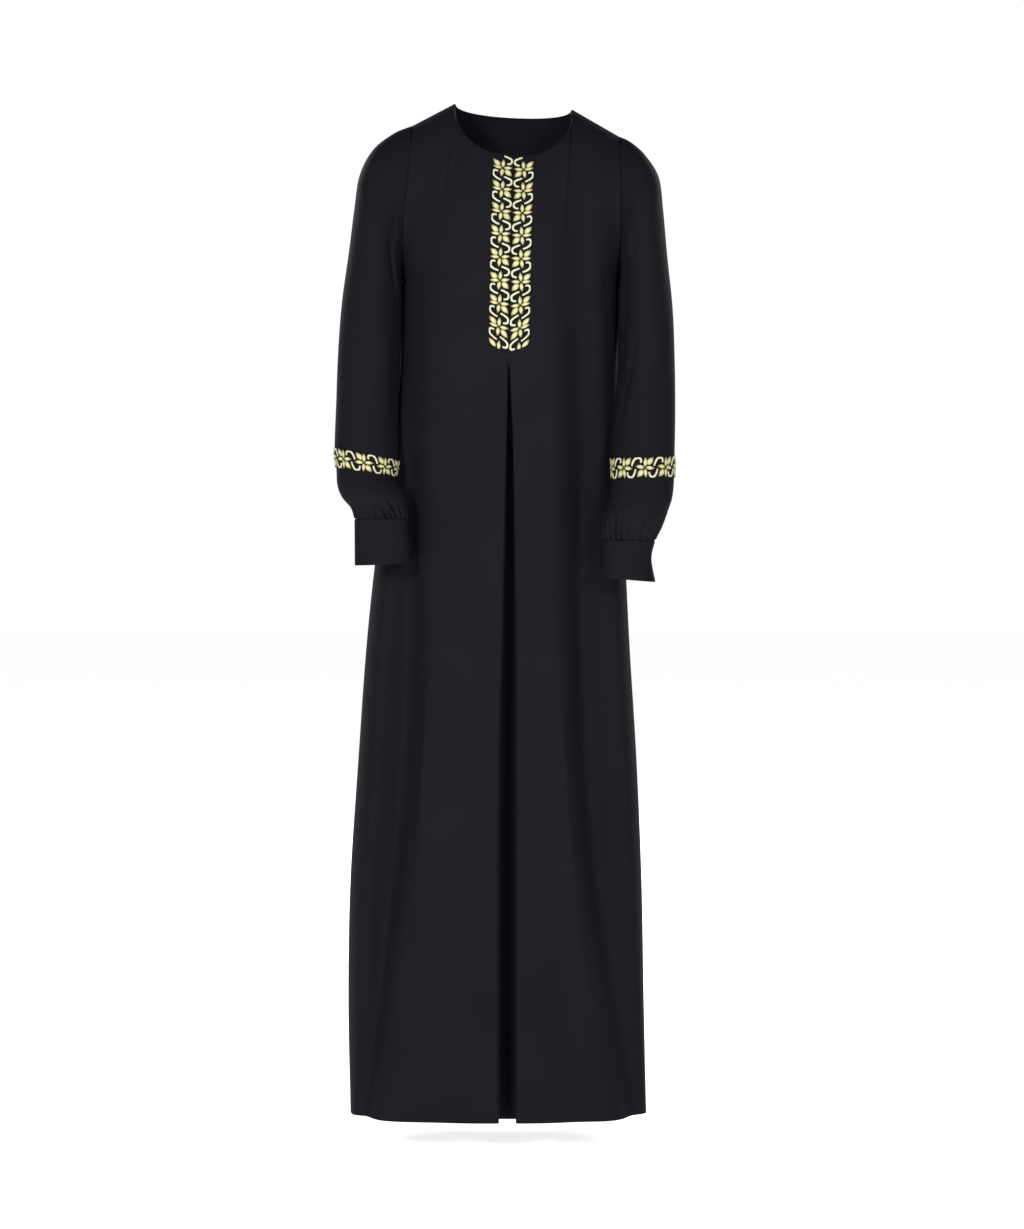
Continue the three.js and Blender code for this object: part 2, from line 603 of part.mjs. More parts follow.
function sleeveRings(side) {
  const loop = armholeLoop(side);
  const sign = side === 'left' ? -1 : 1;
  const clearOfBody = (direction) => (direction.x * sign > 0 ? direction.setX(0) : direction);
  const rings = sleeves[side];
  return rings.map((ring, number) => {
    if (number === 0) return { points: loop, settle: clearOfBody };
    const count = number > trimTopRing + 1 ? sleeveColumns * columnsPerGatherRing : sleeveColumns;
    const settle = number === rings.length - 1 ? levelEdge : asItIs;
    return { points: ringPoints(ring, count, number, loop), settle };
  });
}

function sleeveSheet(side) {
  return tubeSheet(sleeveRings(side), side === 'left');
}

function cuffSheet(side) {
  const rings = cuffs[side].map((ring, number) => ({
    points: ringPoints(ring, sleeveColumns, number, null),
    settle: number === 0 ? levelEdge : asItIs,
  }));
  return tubeSheet(rings, side === 'left');
}

function sleeveTrimSheet(side) {
  const rings = sleeveRings(side)
    .slice(trimTopRing, trimTopRing + 2)
    .map((ring) => ({ points: ring.points.map((point) => point.clone()), settle: asItIs }));
  return moveOut(tubeSheet(rings, side === 'left'), trimLift + trimThickness);
}

// Front trims: their points are the front's own, moved out, apart from the pointed lower end.
function frontTrimSheet(side) {
  const sign = side === 'left' ? -1 : 1;
  const distances = [frontTrim.middleGap / 2, frontTrim.innerColumn, trimMiddle, trimEdge];
  const ordered = side === 'left' ? distances.reverse() : distances;
  const columns = ordered.map((distance) => besideColumn(distance, side));
  const firstRow = bodyLevels.length - 1 - bodyLevels.indexOf(pleatTipZ);
  const pointAt = (row, column) => {
    if (row > 0) return panelPoint(columns[column], firstRow + row, -1);
    const z = pleatTipZ + (frontTrim.pointRise * ordered[column]) / trimEdge;
    return bodyPoint(turnAt(pleatMiddle(z) + sign * ordered[column], z), 0, z, -1);
  };
  const sheet = gridSheet(panelRows - firstRow, columns.length, pointAt, () => asItIs);
  return moveOut(sheet, trimLift + trimThickness);
}

// The garment

const abaya = new THREE.Group();

function addPiece(name, geometry, material) {
  const piece = new THREE.Mesh(geometry, material);
  piece.name = name;
  abaya.add(piece);
}

addPiece('front', wall(frontSheet(), clothThickness), black);
addPiece('back', wall(backSheet(), clothThickness), black);
for (const side of ['left', 'right']) {
  addPiece(`sleeve_${side}`, wall(sleeveSheet(side), clothThickness), black);
  addPiece(`cuff_${side}`, wall(cuffSheet(side), clothThickness), black);
  addPiece(`sleeve_trim_${side}`, wall(sleeveTrimSheet(side), trimThickness), gold);
  addPiece(`front_trim_${side}`, wall(frontTrimSheet(side), trimThickness), gold);
}

export default abaya;
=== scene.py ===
import math

import bpy
import numpy as np
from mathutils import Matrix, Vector


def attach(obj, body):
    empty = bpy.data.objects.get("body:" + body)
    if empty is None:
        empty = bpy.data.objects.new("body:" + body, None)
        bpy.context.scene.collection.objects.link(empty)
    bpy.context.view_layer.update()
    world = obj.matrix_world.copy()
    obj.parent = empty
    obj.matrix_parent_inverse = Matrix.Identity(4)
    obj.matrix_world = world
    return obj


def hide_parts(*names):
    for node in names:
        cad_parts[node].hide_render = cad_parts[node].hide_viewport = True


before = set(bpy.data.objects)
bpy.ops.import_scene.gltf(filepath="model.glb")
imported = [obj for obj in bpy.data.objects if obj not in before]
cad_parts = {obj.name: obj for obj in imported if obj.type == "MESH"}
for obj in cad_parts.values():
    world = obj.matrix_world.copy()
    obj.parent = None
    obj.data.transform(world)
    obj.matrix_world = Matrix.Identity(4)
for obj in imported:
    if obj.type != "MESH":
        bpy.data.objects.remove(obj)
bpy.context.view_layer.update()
bpy.ops.object.select_all(action="DESELECT")
print("frame loaded")

# Shapes are worked out in millimetres and go into the meshes in metres.
# Side is -1 for the left of the picture and 1 for the right, facing is -1 for the front and 1 for the back.
sides = {-1: "Left", 1: "Right"}


# shared maths

def smoothStep(low, high, value):
    t = np.clip((np.asarray(value, float) - low) / (high - low), 0, 1)
    return t * t * (3 - 2 * t)


def hermite(start, leaving, end, arriving, t):
    t2 = t * t
    t3 = t2 * t
    return ((2 * t3 - 3 * t2 + 1) * start + (t3 - 2 * t2 + t) * leaving
            + (3 * t2 - 2 * t3) * end + (t3 - t2) * arriving)


def curveThrough(places, values, at):
    places, values = np.asarray(places, float), np.asarray(values, float)
    if places[0] > places[-1]:
        places, values = places[::-1], values[::-1]
    at = np.clip(np.asarray(at, float), places[0], places[-1])
    k = np.clip(np.searchsorted(places, at, side="right") - 1, 0, len(places) - 2)
    slope = np.diff(values) / np.diff(places)
    tangent = np.concatenate([slope[:1], (slope[1:] + slope[:-1]) / 2, slope[-1:]])
    step = places[k + 1] - places[k]
    t = (at - places[k]) / step
    return hermite(values[k], tangent[k] * step, values[k + 1], tangent[k + 1] * step, t)


def tableOf(names, rows):
    # a list of rows whose columns are named
    return [dict(zip(names.split(), row)) for row in rows]


def columnsOf(names, rows):
    # the same table as one list of values for each named column
    return dict(zip(names.split(), zip(*rows)))


def signedPower(value, exponent):
    return np.sign(value) * np.abs(value) ** exponent


def gridNormals(grid, closed=False):
    # outward directions of a grid of points whose rows run upwards and whose columns run to the right
    if closed:
        across = np.roll(grid, -1, 1) - np.roll(grid, 1, 1)
    else:
        across = np.gradient(grid, axis=1)
    along = np.gradient(grid, axis=0)
    normal = np.cross(across, along)
    size = np.linalg.norm(normal, axis=2, keepdims=True)
    return normal / np.maximum(size, 1e-9)


def runLengths(points):
    steps = np.linalg.norm(np.diff(points, axis=0), axis=1)
    return np.concatenate([[0], np.cumsum(steps)])


# body of the garment

body = {
    "underarm": -242,
    "hem": -1382,
    "z": [-242, -363, -450, -540, -630, -735, -900, -1065, -1229, -1382],
    "middle": [-2, -4, -8, -12, -16, -19, -20, -22, -22, -19],
    "halfWidth": [148.5, 150, 156, 164, 172, 180, 191, 200, 203, 203],
    "front": [112, 110, 110, 114, 120, 126, 134, 140, 145, 150],
    "back": [108, 101, 99, 104, 115, 122, 129, 135, 140, 145],
    "squareness": [2.2, 2.5, 2.5, 2.35, 2.3, 2.45, 2.6, 2.6, 2.6, 2.6],
    "wall": 1.2,
    "rim": 0.35,
    "seamGap": 0.3,
    "sink": {"depth": 0.5, "reach": 2.4},
}

pleat = {
    "tip": -346,
    "z": [-346, -384, -455, -560, -735, -900, -1382],
    "middle": [-4.5, -4, -3, -3.2, -3.8, -5.6, -6.3],
    "mouth": [1, 1.6, 4.2, 6.8, 10.2, 12.8, 13.4],
    "wing": [2, 5, 16, 27, 37, 44, 50],
    "depth": [1, 13, 23, 30, 36, 41, 46],
    "spread": 0.5,
    "rim": 2.6,
    "opensOver": 26,    # height below the tip in which the mouth opens
    "spreadsOver": 30,  # and in which the cloth beside it moves away
    # the fold's outline from its middle to the cloth beside the mouth
    "outline": {
        "mouth": [0, 0, 0, 0, 1, 1, 1, 1],
        "wing": [0, 0.64, 0.95, 0.9, 0, 0, 0, 0],
        "depth": [1, 0.97, 0.76, 0.42, 0.06, 0, 0, 0],
        "across": [0, 0, 0, 0, 0.4, 0, 0.7, 2.6],
        "back": [0, 0, 0, 0, 2.8, 2.2, 0.5, 0],
        "flat": [0, 1, 2, 3, 4, 5, 6, 7],
    },
}

neck = {
    "middle": 2,
    "halfWidth": 80,
    "pointZ": {-1: 0, 1: -8},
    "drop": {-1: 73, 1: 12},
    "reach": {-1: 80, 1: 54},
    "squareness": 2.2,
    "forwardness": 0.7,
    "seamY": 8,
    "shoulder": {-1: (-137, -31), 1: (148, -46)},
}

yoke = {
    "armholeReach": 250, "armholeRise": 60, "armholeSharpness": 3.5,
    "neckline": {-1: (70, 130), 1: (90, 150)},  # backwards and rise on arrival, front and back
    "neckPoint": (215, 40),
    "shoulderPoint": (250, 40),
}

foldHeights = [-240, -450, -600, -950, -1382]

# Each fold: the column it runs along, where it lies at those heights, and how far it stands out there.
foldNames = "column x out"
frontFolds = {
    -1: tableOf(foldNames, [
        (2, [-54, -56, -58, -62, -100], [1, 1, 1, 1, -3]),
        (4, [-96, -100, -103, -112, -168], [1.5, 2, 3, 4, 6]),
        (8, [-128, -138, -148, -168, -205], [0, -4, -16, -27, -8]),
        (10, [-142, -155, -167, -189, -214], [0, 1, 2, 4, 2]),
    ]),
    1: tableOf(foldNames, [
        (2, [34, 36, 38, 50, 86], [0, 0, 0, 0, -4]),
        (3, [50, 53, 57, 70, 130], [0, 1, 2, 5, 6]),
        (7, [92, 104, 108, 122, 170], [-6, -18, -25, -26, -9]),
        (9, [122, 135, 141, 158, 181], [0, -6, -2, 3, 2]),
    ]),
}
middleBackFold = {"column": 0, "x": [-6, -8, -10, -8, -14], "out": [0, 2, 3, 6, 8]}
backFolds = {
    -1: tableOf(foldNames, [
        (3, [-52, -55, -58, -66, -84], [0, -4, -6, -8, -8]),
        (5, [-86, -91, -94, -106, -130], [2, 4, 6, 8, 9]),
        (7, [-118, -125, -130, -148, -178], [0, -2, -4, -6, -5]),
    ]),
    1: tableOf(foldNames, [
        (3, [48, 47, 46, 54, 62], [-1, -4, -6, -9, -8]),
        (5, [88, 86, 84, 98, 108], [2, 4, 5, 8, 10]),
        (7, [118, 120, 122, 138, 154], [0, -2, -3, -5, -5]),
    ]),
}
columns = {"neck": {(-1, -1): 4, (1, -1): 5, (-1, 1): 4, (1, 1): 4}, "seam": {-1: 12, 1: 10}}


def turnAt(x, z):
    share = (x - curveThrough(body["z"], body["middle"], z)) / curveThrough(body["z"], body["halfWidth"], z)
    squareness = curveThrough(body["z"], body["squareness"], z)
    return np.arcsin(signedPower(np.clip(share, -1, 1), squareness / 2)) / (math.pi / 2)


def bodyPoints(turn, out, z, facing):
    angle = turn * math.pi / 2
    half = curveThrough(body["z"], body["halfWidth"], z)
    depth = curveThrough(body["z"], body["front" if facing < 0 else "back"], z)
    exponent = 2 / curveThrough(body["z"], body["squareness"], z)
    across = signedPower(np.sin(angle), exponent) * half
    deep = facing * np.maximum(np.cos(angle), 0) ** exponent * depth
    nx, ny = across / half ** 2, deep / depth ** 2
    size = np.sqrt(nx * nx + ny * ny)
    middle = curveThrough(body["z"], body["middle"], z)
    return np.stack([middle + across + nx / size * out, deep + ny / size * out, z + 0 * turn], axis=-1)


def foldKnot(fold, z):
    x = curveThrough(foldHeights, fold["x"], z)
    return turnAt(x, z), curveThrough(foldHeights, fold["out"], z)


def columnPlace(number, first, folds, side, facing, z):
    knots = [0] + [fold["column"] for fold in folds] + [columns["seam"][facing]]
    places = [first(z)] + [foldKnot(fold, z) for fold in folds] + [(side + 0 * z, 0 * z)]
    turns = np.concatenate([p[0] for p in places], axis=1)
    outs = np.concatenate([p[1] for p in places], axis=1)
    span = np.clip(np.searchsorted(knots, number, side="left") - 1, 0, len(knots) - 2)
    low, high = np.take(knots, span), np.take(knots, span + 1)
    share = (number - low) / (high - low)
    turn = turns[:, span] + (turns[:, span + 1] - turns[:, span]) * share
    out = outs[:, span] + (outs[:, span + 1] - outs[:, span]) * smoothStep(0, 1, share)
    return turn, out


def pleatMiddle(z):
    bottom, top = pleat["tip"], -neck["drop"][-1]
    above = pleat["middle"][0] + (neck["middle"] - pleat["middle"][0]) * (z - bottom) / (top - bottom)
    return np.where(z > bottom, above, curveThrough(pleat["z"], pleat["middle"], z))


def pleatSpread(z):
    opened = smoothStep(pleat["tip"], pleat["tip"] - pleat["spreadsOver"], z)
    return opened * curveThrough(pleat["z"], pleat["mouth"], z) * pleat["spread"]


def necklineShare(distance):
    return np.arcsin((distance / neck["halfWidth"]) ** (neck["squareness"] / 2)) / (math.pi / 2)


def necklineDepth(share):
    return np.maximum(np.cos(np.minimum(share, 1) * math.pi / 2), 0) ** (2 / neck["squareness"])


def topLine(share, side, facing):
    seamY = neck["seamY"] + facing * body["seamGap"] / 2
    pointX, pointZ = neck["middle"] + side * neck["halfWidth"], neck["pointZ"][side]
    middleZ = (neck["pointZ"][-1] + neck["pointZ"][1]) / 2
    across = signedPower(np.sin(np.minimum(share, 1) * math.pi / 2), 2 / neck["squareness"])
    down = necklineDepth(share)
    along = np.maximum(share - 1, 0)
    shoulderX, shoulderZ = neck["shoulder"][side]
    x = neck["middle"] + side * neck["halfWidth"] * across + (shoulderX - pointX) * along
    y = seamY + facing * neck["reach"][facing] * down ** neck["forwardness"]
    z = middleZ + (pointZ - middleZ) * across - neck["drop"][facing] * down + (shoulderZ - pointZ) * along
    return np.stack([x, y, z], axis=-1)


def yokePoints(below, top, edge, side, facing, climb):
    # from the underarm level (climb 0) to the neckline and shoulder seam (climb 1)
    start = below(np.array([[body["underarm"]]], float))[0]
    end = topLine(top, side, facing)
    atEdge = edge ** yoke["armholeSharpness"]
    height = end[:, 2] - start[:, 2]
    leaving = np.stack([0 * top, facing * yoke["armholeReach"] * atEdge,
                        height + (yoke["armholeRise"] - height) * atEdge], axis=-1)
    low = np.where(top[:, None] > 1, yoke["neckPoint"], yoke["neckline"][facing])
    high = np.where(top[:, None] > 1, yoke["shoulderPoint"], yoke["neckPoint"])
    share = np.where(top > 1, top - 1, (1 - necklineDepth(top)) ** 2)[:, None]
    arrival = low + (high - low) * share
    arriving = np.stack([0 * top, -facing * arrival[:, 0], arrival[:, 1]], axis=-1)
    t = np.asarray(climb, float).reshape(-1, 1, 1)
    return hermite(start[None], leaving[None], end[None], arriving[None], t)


def pleatColumns(places, side):
    # columns in the pleat's fold, by place along its outline
    outline = {key: curveThrough(range(8), values, places) for key, values in pleat["outline"].items()}

    def below(z):
        size = {key: curveThrough(pleat["z"], pleat[key], z) for key in ("mouth", "wing", "depth")}
        opened = smoothStep(pleat["tip"], pleat["tip"] - pleat["opensOver"], z)
        folded = outline["mouth"] * size["mouth"] + outline["wing"] * size["wing"] + outline["across"]
        away = outline["flat"] + (folded - outline["flat"]) * opened
        back = (outline["depth"] * size["depth"] + outline["back"]) * opened
        middle = pleatMiddle(z)
        rim = middle + side * (size["mouth"] + pleat["rim"]) + 0 * away
        points = bodyPoints(turnAt(np.where(back > 0.05, rim, middle + side * away), z), 0, z, -1)
        points[..., 0] = middle + side * away
        points[..., 1] += back
        return points

    return {"below": below, "top": necklineShare(outline["flat"]), "edge": 0 * places}


def besideColumns(distance, side):
    # columns beside the pleat, by distance from its middle; the nearest follow the rim of its mouth
    rimPlace = pleat["outline"]["flat"][-1]
    nearRim = np.maximum(0, 1 - (distance - rimPlace) / (frontPanel["trimMiddle"] - rimPlace))

    def below(z):
        opened = smoothStep(pleat["tip"], pleat["tip"] - pleat["opensOver"], z)
        rim = opened * (curveThrough(pleat["z"], pleat["mouth"], z) + pleat["rim"] - rimPlace)
        away = distance + pleatSpread(z) + (rim - pleatSpread(z)) * nearRim
        return bodyPoints(turnAt(pleatMiddle(z) + side * away, z), 0, z, -1)

    return {"below": below, "top": necklineShare(distance), "edge": 0 * distance}


def panelColumns(numbers, first, firstTop, folds, side, facing):
    seam = columns["seam"][facing]
    neckColumn = columns["neck"][(side, facing)]
    atSeam = numbers == seam

    def below(z):
        turn, out = columnPlace(numbers, first, folds, side, facing, z)
        points = bodyPoints(turn, out, z, facing)
        points[:, atSeam, 1] = facing * body["seamGap"] / 2
        return points

    level = np.array([[body["underarm"]]], float)
    start = float(first(level)[0][0, 0])
    edge = (columnPlace(numbers, first, folds, side, facing, level)[0][0] - start) / (side - start)
    top = np.where(numbers <= neckColumn, firstTop + (1 - firstTop) * numbers / neckColumn,
                   1 + (numbers - neckColumn) / (seam - neckColumn))
    return {"below": below, "top": top, "edge": edge}


def panelGrid(halves, facing, levels, climbs):
    # halves: for each side the column sets from the middle outwards
    parts = []
    for side, sets in halves:
        grids = []
        for columnSet in sets:
            lower = columnSet["below"](levels.reshape(-1, 1))
            upper = yokePoints(columnSet["below"], columnSet["top"], columnSet["edge"], side, facing, climbs)
            grids.append(np.concatenate([lower, upper], axis=0))
        half = np.concatenate(grids, axis=1)
        parts.append(half[:, ::-1] if side == facing else half)
    return np.concatenate(parts, axis=1)


print("body shape ready")


# cloth: creases and seams

def addCreases(grid, creases):
    # soft troughs and ridges, each along a line from one (x, z) to another that may bow sideways
    x, z = grid[..., 0], grid[..., 2]
    moved = np.zeros_like(x)
    for crease in creases:
        (x0, z0), (x1, z1) = crease["from"], crease["to"]
        dx, dz = x1 - x0, z1 - z0
        length = math.hypot(dx, dz)
        along = ((x - x0) * dx + (z - z0) * dz) / length ** 2
        aside = ((x - x0) * dz - (z - z0) * dx) / length
        bow = crease.get("bow", 0) * np.sin(math.pi * np.clip(along, 0, 1))
        taper = smoothStep(0, 0.35, along) * smoothStep(1, 0.55, along)
        moved += crease["out"] * taper * np.exp(-((aside - bow) / crease["width"]) ** 2)
    return grid + gridNormals(grid) * moved[..., None]


def sinkEdges(grid, normals, edges, depth, reach):
    # cloth rolls under where it is sewn to the next piece
    lines = {"first": grid[:, :1], "last": grid[:, -1:], "top": grid[-1:], "bottom": grid[:1]}
    sunk = np.zeros(grid.shape[:2])
    for edge in edges:
        distance = np.linalg.norm(grid - lines[edge], axis=2)
        sunk = np.maximum(sunk, 1 - smoothStep(0, reach, distance))
    # but not at the underarm, where all of them meet in one point
    sunk = sunk * (1 - np.exp(-((grid[..., 2] - body["underarm"]) / 12) ** 2))
    return grid - normals * (depth * sunk)[..., None]


def meshObject(name, points, faces):
    mesh = bpy.data.meshes.new(name)
    mesh.from_pydata((points / 1000).tolist(), [], faces)
    mesh.polygons.foreach_set("use_smooth", [True] * len(faces))
    obj = bpy.data.objects.new(name, mesh)
    bpy.context.scene.collection.objects.link(obj)
    return obj


def selectOnly(obj):
    bpy.ops.object.select_all(action="DESELECT")
    obj.select_set(True)
    bpy.context.view_layer.objects.active = obj


def sheetObject(name, grid, closed=False):
    # a grid of points becomes a mesh with a UV map in metres along the cloth
    rows, cols = grid.shape[:2]
    ring = np.concatenate([grid, grid[:, :1]], axis=1) if closed else grid
    across = np.cumsum(np.linalg.norm(np.diff(ring, axis=1), axis=2), axis=1)
    across = np.concatenate([np.zeros((rows, 1)), across], axis=1)
    across = across - (0 if closed else across[:, [across.shape[1] // 2]])
    along = np.cumsum(np.linalg.norm(np.diff(grid, axis=0), axis=2), axis=0)
    along = np.concatenate([np.zeros((1, cols)), along])
    low, left = np.meshgrid(np.arange(rows - 1), np.arange(ring.shape[1] - 1), indexing="ij")
    corners = [(low, left), (low, left + 1), (low + 1, left + 1), (low + 1, left)]
    faces = np.stack([row * cols + place % cols for row, place in corners], axis=-1)
    uvs = np.stack([np.stack([across[row, place], along[row, place % cols]], axis=-1)
                    for row, place in corners], axis=2)
    obj = meshObject(name, grid.reshape(-1, 3), faces.reshape(-1, 4).tolist())
    obj.data.uv_layers.new(name="cloth").data.foreach_set("uv", (uvs / 1000).reshape(-1))
    return obj


def giveWall(obj, thickness, roundness):
    # cloth thickness towards the inside, with its raw rims rounded
    selectOnly(obj)
    wall = obj.modifiers.new("wall", "SOLIDIFY")
    wall.thickness = thickness / 1000
    wall.offset = -1
    rim = obj.modifiers.new("rim", "BEVEL")
    rim.width = roundness / 1000
    rim.segments = 2
    rim.limit_method = "ANGLE"
    rim.angle_limit = math.radians(70)
    for modifier in ("wall", "rim"):
        bpy.ops.object.modifier_apply(modifier=modifier)
    bpy.ops.object.shade_smooth_by_angle(angle=math.radians(50))
    obj.select_set(False)


# front panel with its inverted pleat

frontPanel = {
    "trimEdge": 27.75,
    "trimMiddle": 15.26,
    "levels": 132,
    "climbs": 42,
    "creases": tableOf("from to bow width out", [
        ((-84, -120), (-78, -430), -6, 20, 1.8),
        ((-118, -180), (-124, -420), 3, 11, -0.9),
        ((-146, -225), (-104, -300), 3, 7, -1.0),
        ((-140, -190), (-112, -232), 2, 6, 1.2),
        ((-52, -300), (-46, -560), 4, 15, 1.0),
        ((95, -150), (88, -420), 5, 17, -1.6),
        ((142, -228), (104, -296), -3, 7, -1.8),
        ((60, -260), (52, -520), -3, 13, 1.2),
        ((-140, -470), (-158, -760), 4, 12, 1.8),
        ((-66, -700), (-92, -1240), -8, 16, 1.6),
        ((-168, -960), (-176, -1330), 5, 11, -2.0),
        ((36, -620), (60, -1180), 8, 16, -1.4),
        ((112, -760), (146, -1190), -6, 10, 1.8),
        ((132, -520), (140, -820), 5, 11, -1.6),
        ((90, -1040), (104, -1370), 4, 12, 1.4),
        ((-128, -520), (-142, -1140), -4, 21, -4.5),
        ((-101, -640), (-132, -1280), 8, 5.5, 2.4),
        ((90, -540), (122, -1260), 2, 23, -5.5),
        ((58, -640), (112, -1300), 9, 5.5, 2.4),
    ]),
}


def levelSteps(count):
    # heights from the hem to just below the underarm, closer together at the hem's fold and the pleat's tip
    even = np.linspace(body["hem"], body["underarm"], count)[:-1]
    return np.unique(np.concatenate([even, [body["hem"] + 1.5, body["hem"] + 4, pleat["tip"]]]))


def climbSteps(count):
    even = np.linspace(0, 1, count)
    return np.unique(np.concatenate([even, [0.985, 0.993]]))


def frontSets(side):
    edge = frontPanel["trimEdge"]
    places = np.concatenate([np.linspace(0, 4, 13), np.linspace(4, 7, 16)[1:]])
    beside = np.concatenate([np.linspace(7, frontPanel["trimMiddle"], 4)[1:],
                             np.linspace(frontPanel["trimMiddle"], edge, 5)[1:]])
    numbers = np.concatenate([np.linspace(0, 11.9, 86)[1:], [11.95, 12]])

    def first(z):
        return turnAt(pleatMiddle(z) + side * (edge + pleatSpread(z)), z), 0 * z

    panel = panelColumns(numbers, first, necklineShare(edge), frontFolds[side], side, -1)
    return [pleatColumns(places if side > 0 else places[1:], side), besideColumns(beside, side), panel]


def finishPanel(name, grid, creases):
    grid = addCreases(grid, creases)
    grid = sinkEdges(grid, gridNormals(grid), ["first", "last", "top"], **body["sink"])
    obj = sheetObject(name, grid)
    giveWall(obj, body["wall"], body["rim"])
    return obj


def buildFront():
    levels, climbs = levelSteps(frontPanel["levels"]), climbSteps(frontPanel["climbs"])
    grid = panelGrid([(-1, frontSets(-1)), (1, frontSets(1))], -1, levels, climbs)
    return finishPanel("frontPanel", grid, frontPanel["creases"])


frontCloth = buildFront()
print("front panel made")


# back panel

backPanel = {
    "levels": 120,
    "climbs": 42,
    "creases": tableOf("from to bow width out", [
        ((-140, -215), (-92, -310), -3, 8, -1.8),
        ((138, -222), (88, -322), 3, 8, -1.8),
        ((-96, -90), (-112, -260), 4, 14, 1.4),
        ((102, -100), (112, -270), -4, 14, 1.4),
        ((-30, -330), (-44, -760), 6, 15, 1.8),
        ((24, -360), (30, -820), -5, 14, -1.6),
        ((-112, -420), (-126, -800), -4, 12, 1.6),
        ((108, -440), (128, -860), 5, 12, 1.8),
        ((-70, -800), (-84, -1300), 6, 14, -1.8),
        ((-160, -900), (-172, -1330), -5, 12, 1.8),
        ((40, -860), (38, -1340), 6, 13, 1.6),
        ((136, -940), (142, -1350), -5, 12, -1.8),
    ]),
}


def backSet(side, numbers):
    def first(z):
        return foldKnot(middleBackFold, z)

    return panelColumns(numbers, first, 0, backFolds[side], side, 1)


def buildBack():
    levels, climbs = levelSteps(backPanel["levels"]), climbSteps(backPanel["climbs"])
    numbers = np.concatenate([np.linspace(0, 9.9, 76), [9.95, 10]])
    grid = panelGrid([(1, [backSet(1, numbers)]), (-1, [backSet(-1, numbers[1:])])], 1, levels, climbs)
    return finishPanel("backPanel", grid, backPanel["creases"])


backCloth = buildBack()
print("back panel made")


# sleeves, ring by ring from the armhole to the cuff; turning starts outside and comes round the front

sleeve = {
    "ringsFromArmhole": 4,
    "trimTop": 9,
    "trimBottom": 10,
    "cuffRing": 15,
    "columns": 264,
    "steps": 7,
    "gatherSteps": 9,
    "fuller": {"degrees": (95, 165), "times": 2.1},  # the gathers that face the camera
    "puff": 0.9,
    "tuck": {"share": 0.92, "down": [0.2, 2.0, 4.0]},
}

ringNames = "outerX outerZ innerX innerZ middleY halfDepth"
sleeveRings = {
    -1: columnsOf(ringNames, [
        (-137.4, -31, -150.9, -242, 0, 62), (-162, -42, -150.5, -247, -8, 64),
        (-190, -65, -149.9, -252, -16, 65), (-208, -100, -149.5, -258, -21, 63),
        (-215, -145, -149.2, -266, -25, 60), (-222.5, -205, -149.2, -280, -29, 57),
        (-232, -275, -149.8, -310, -35, 53), (-237, -345, -152, -362, -44, 49),
        (-239, -410, -154, -422, -57, 46), (-240.6, -472, -154, -489, -76, 44),
        (-238, -499, -156.6, -512, -85, 42), (-236, -524, -146, -527, -95, 43),
        (-229, -540, -141.5, -540, -100, 42), (-218, -552, -140.5, -552, -103, 36),
        (-214, -561, -140.5, -561, -104, 30), (-212.8, -567.6, -140.7, -567.6, -104, 27),
    ]),
    1: columnsOf(ringNames, [
        (148.4, -46, 146.9, -242, 0, 62), (163, -54, 146.2, -247, -8, 64),
        (182, -72, 145.7, -252, -16, 65), (200.5, -103, 145.3, -258, -21, 63),
        (206.5, -150, 145, -266, -25, 60), (212, -212, 144.7, -282, -29, 57),
        (219, -282, 144.2, -315, -36, 53), (221.5, -352, 143.2, -368, -47, 48),
        (221.8, -420, 138, -428, -63, 45), (220.4, -484, 134.6, -486, -80, 43),
        (219.6, -512, 135.4, -515, -88, 42), (217, -538, 130.5, -541, -96, 43),
        (210.5, -558, 124, -560, -102, 42), (203, -577, 121.5, -578, -105, 36),
        (197, -589, 120.6, -589.5, -106, 30), (193.4, -596.6, 120.4, -596.6, -106, 27),
    ]),
}

# Creases run from one place (degrees round, ring) to another; width is in degrees.
creaseNames = "degrees ring width out"
softFolds = tableOf(creaseNames, [
    ((128, 128), (0.5, 6.5), 22, -4),
    ((80, 80), (1.5, 9.5), 26, 3),
    ((150, 150), (4.5, 9.5), 20, -3),
    ((235, 235), (0.5, 7.5), 24, -4),
    ((300, 300), (3.5, 9.5), 24, 3),
])
sleeveCreases = {
    -1: softFolds + tableOf(creaseNames, [
        ((96, 142), (0.8, 4.4), 9, -3),
        ((112, 150), (0.6, 3.4), 7, 1.6),
        ((118, 150), (2.2, 5.6), 8, -2.2),
        ((62, 100), (6.2, 9.2), 12, -1.8),
        ((250, 212), (1.0, 5.0), 10, -2.6),
        ((320, 280), (5.0, 8.8), 12, -2.0),
    ]),
    1: softFolds + tableOf(creaseNames, [
        ((132, 146), (0.6, 6.4), 9, -3),
        ((104, 130), (0.8, 4.0), 9, 1.6),
        ((108, 148), (6.0, 8.4), 10, -2.8),
        ((70, 112), (7.0, 9.2), 12, 1.8),
        ((246, 214), (1.2, 5.2), 10, -2.6),
        ((316, 284), (5.2, 8.6), 12, -2.0),
    ]),
}

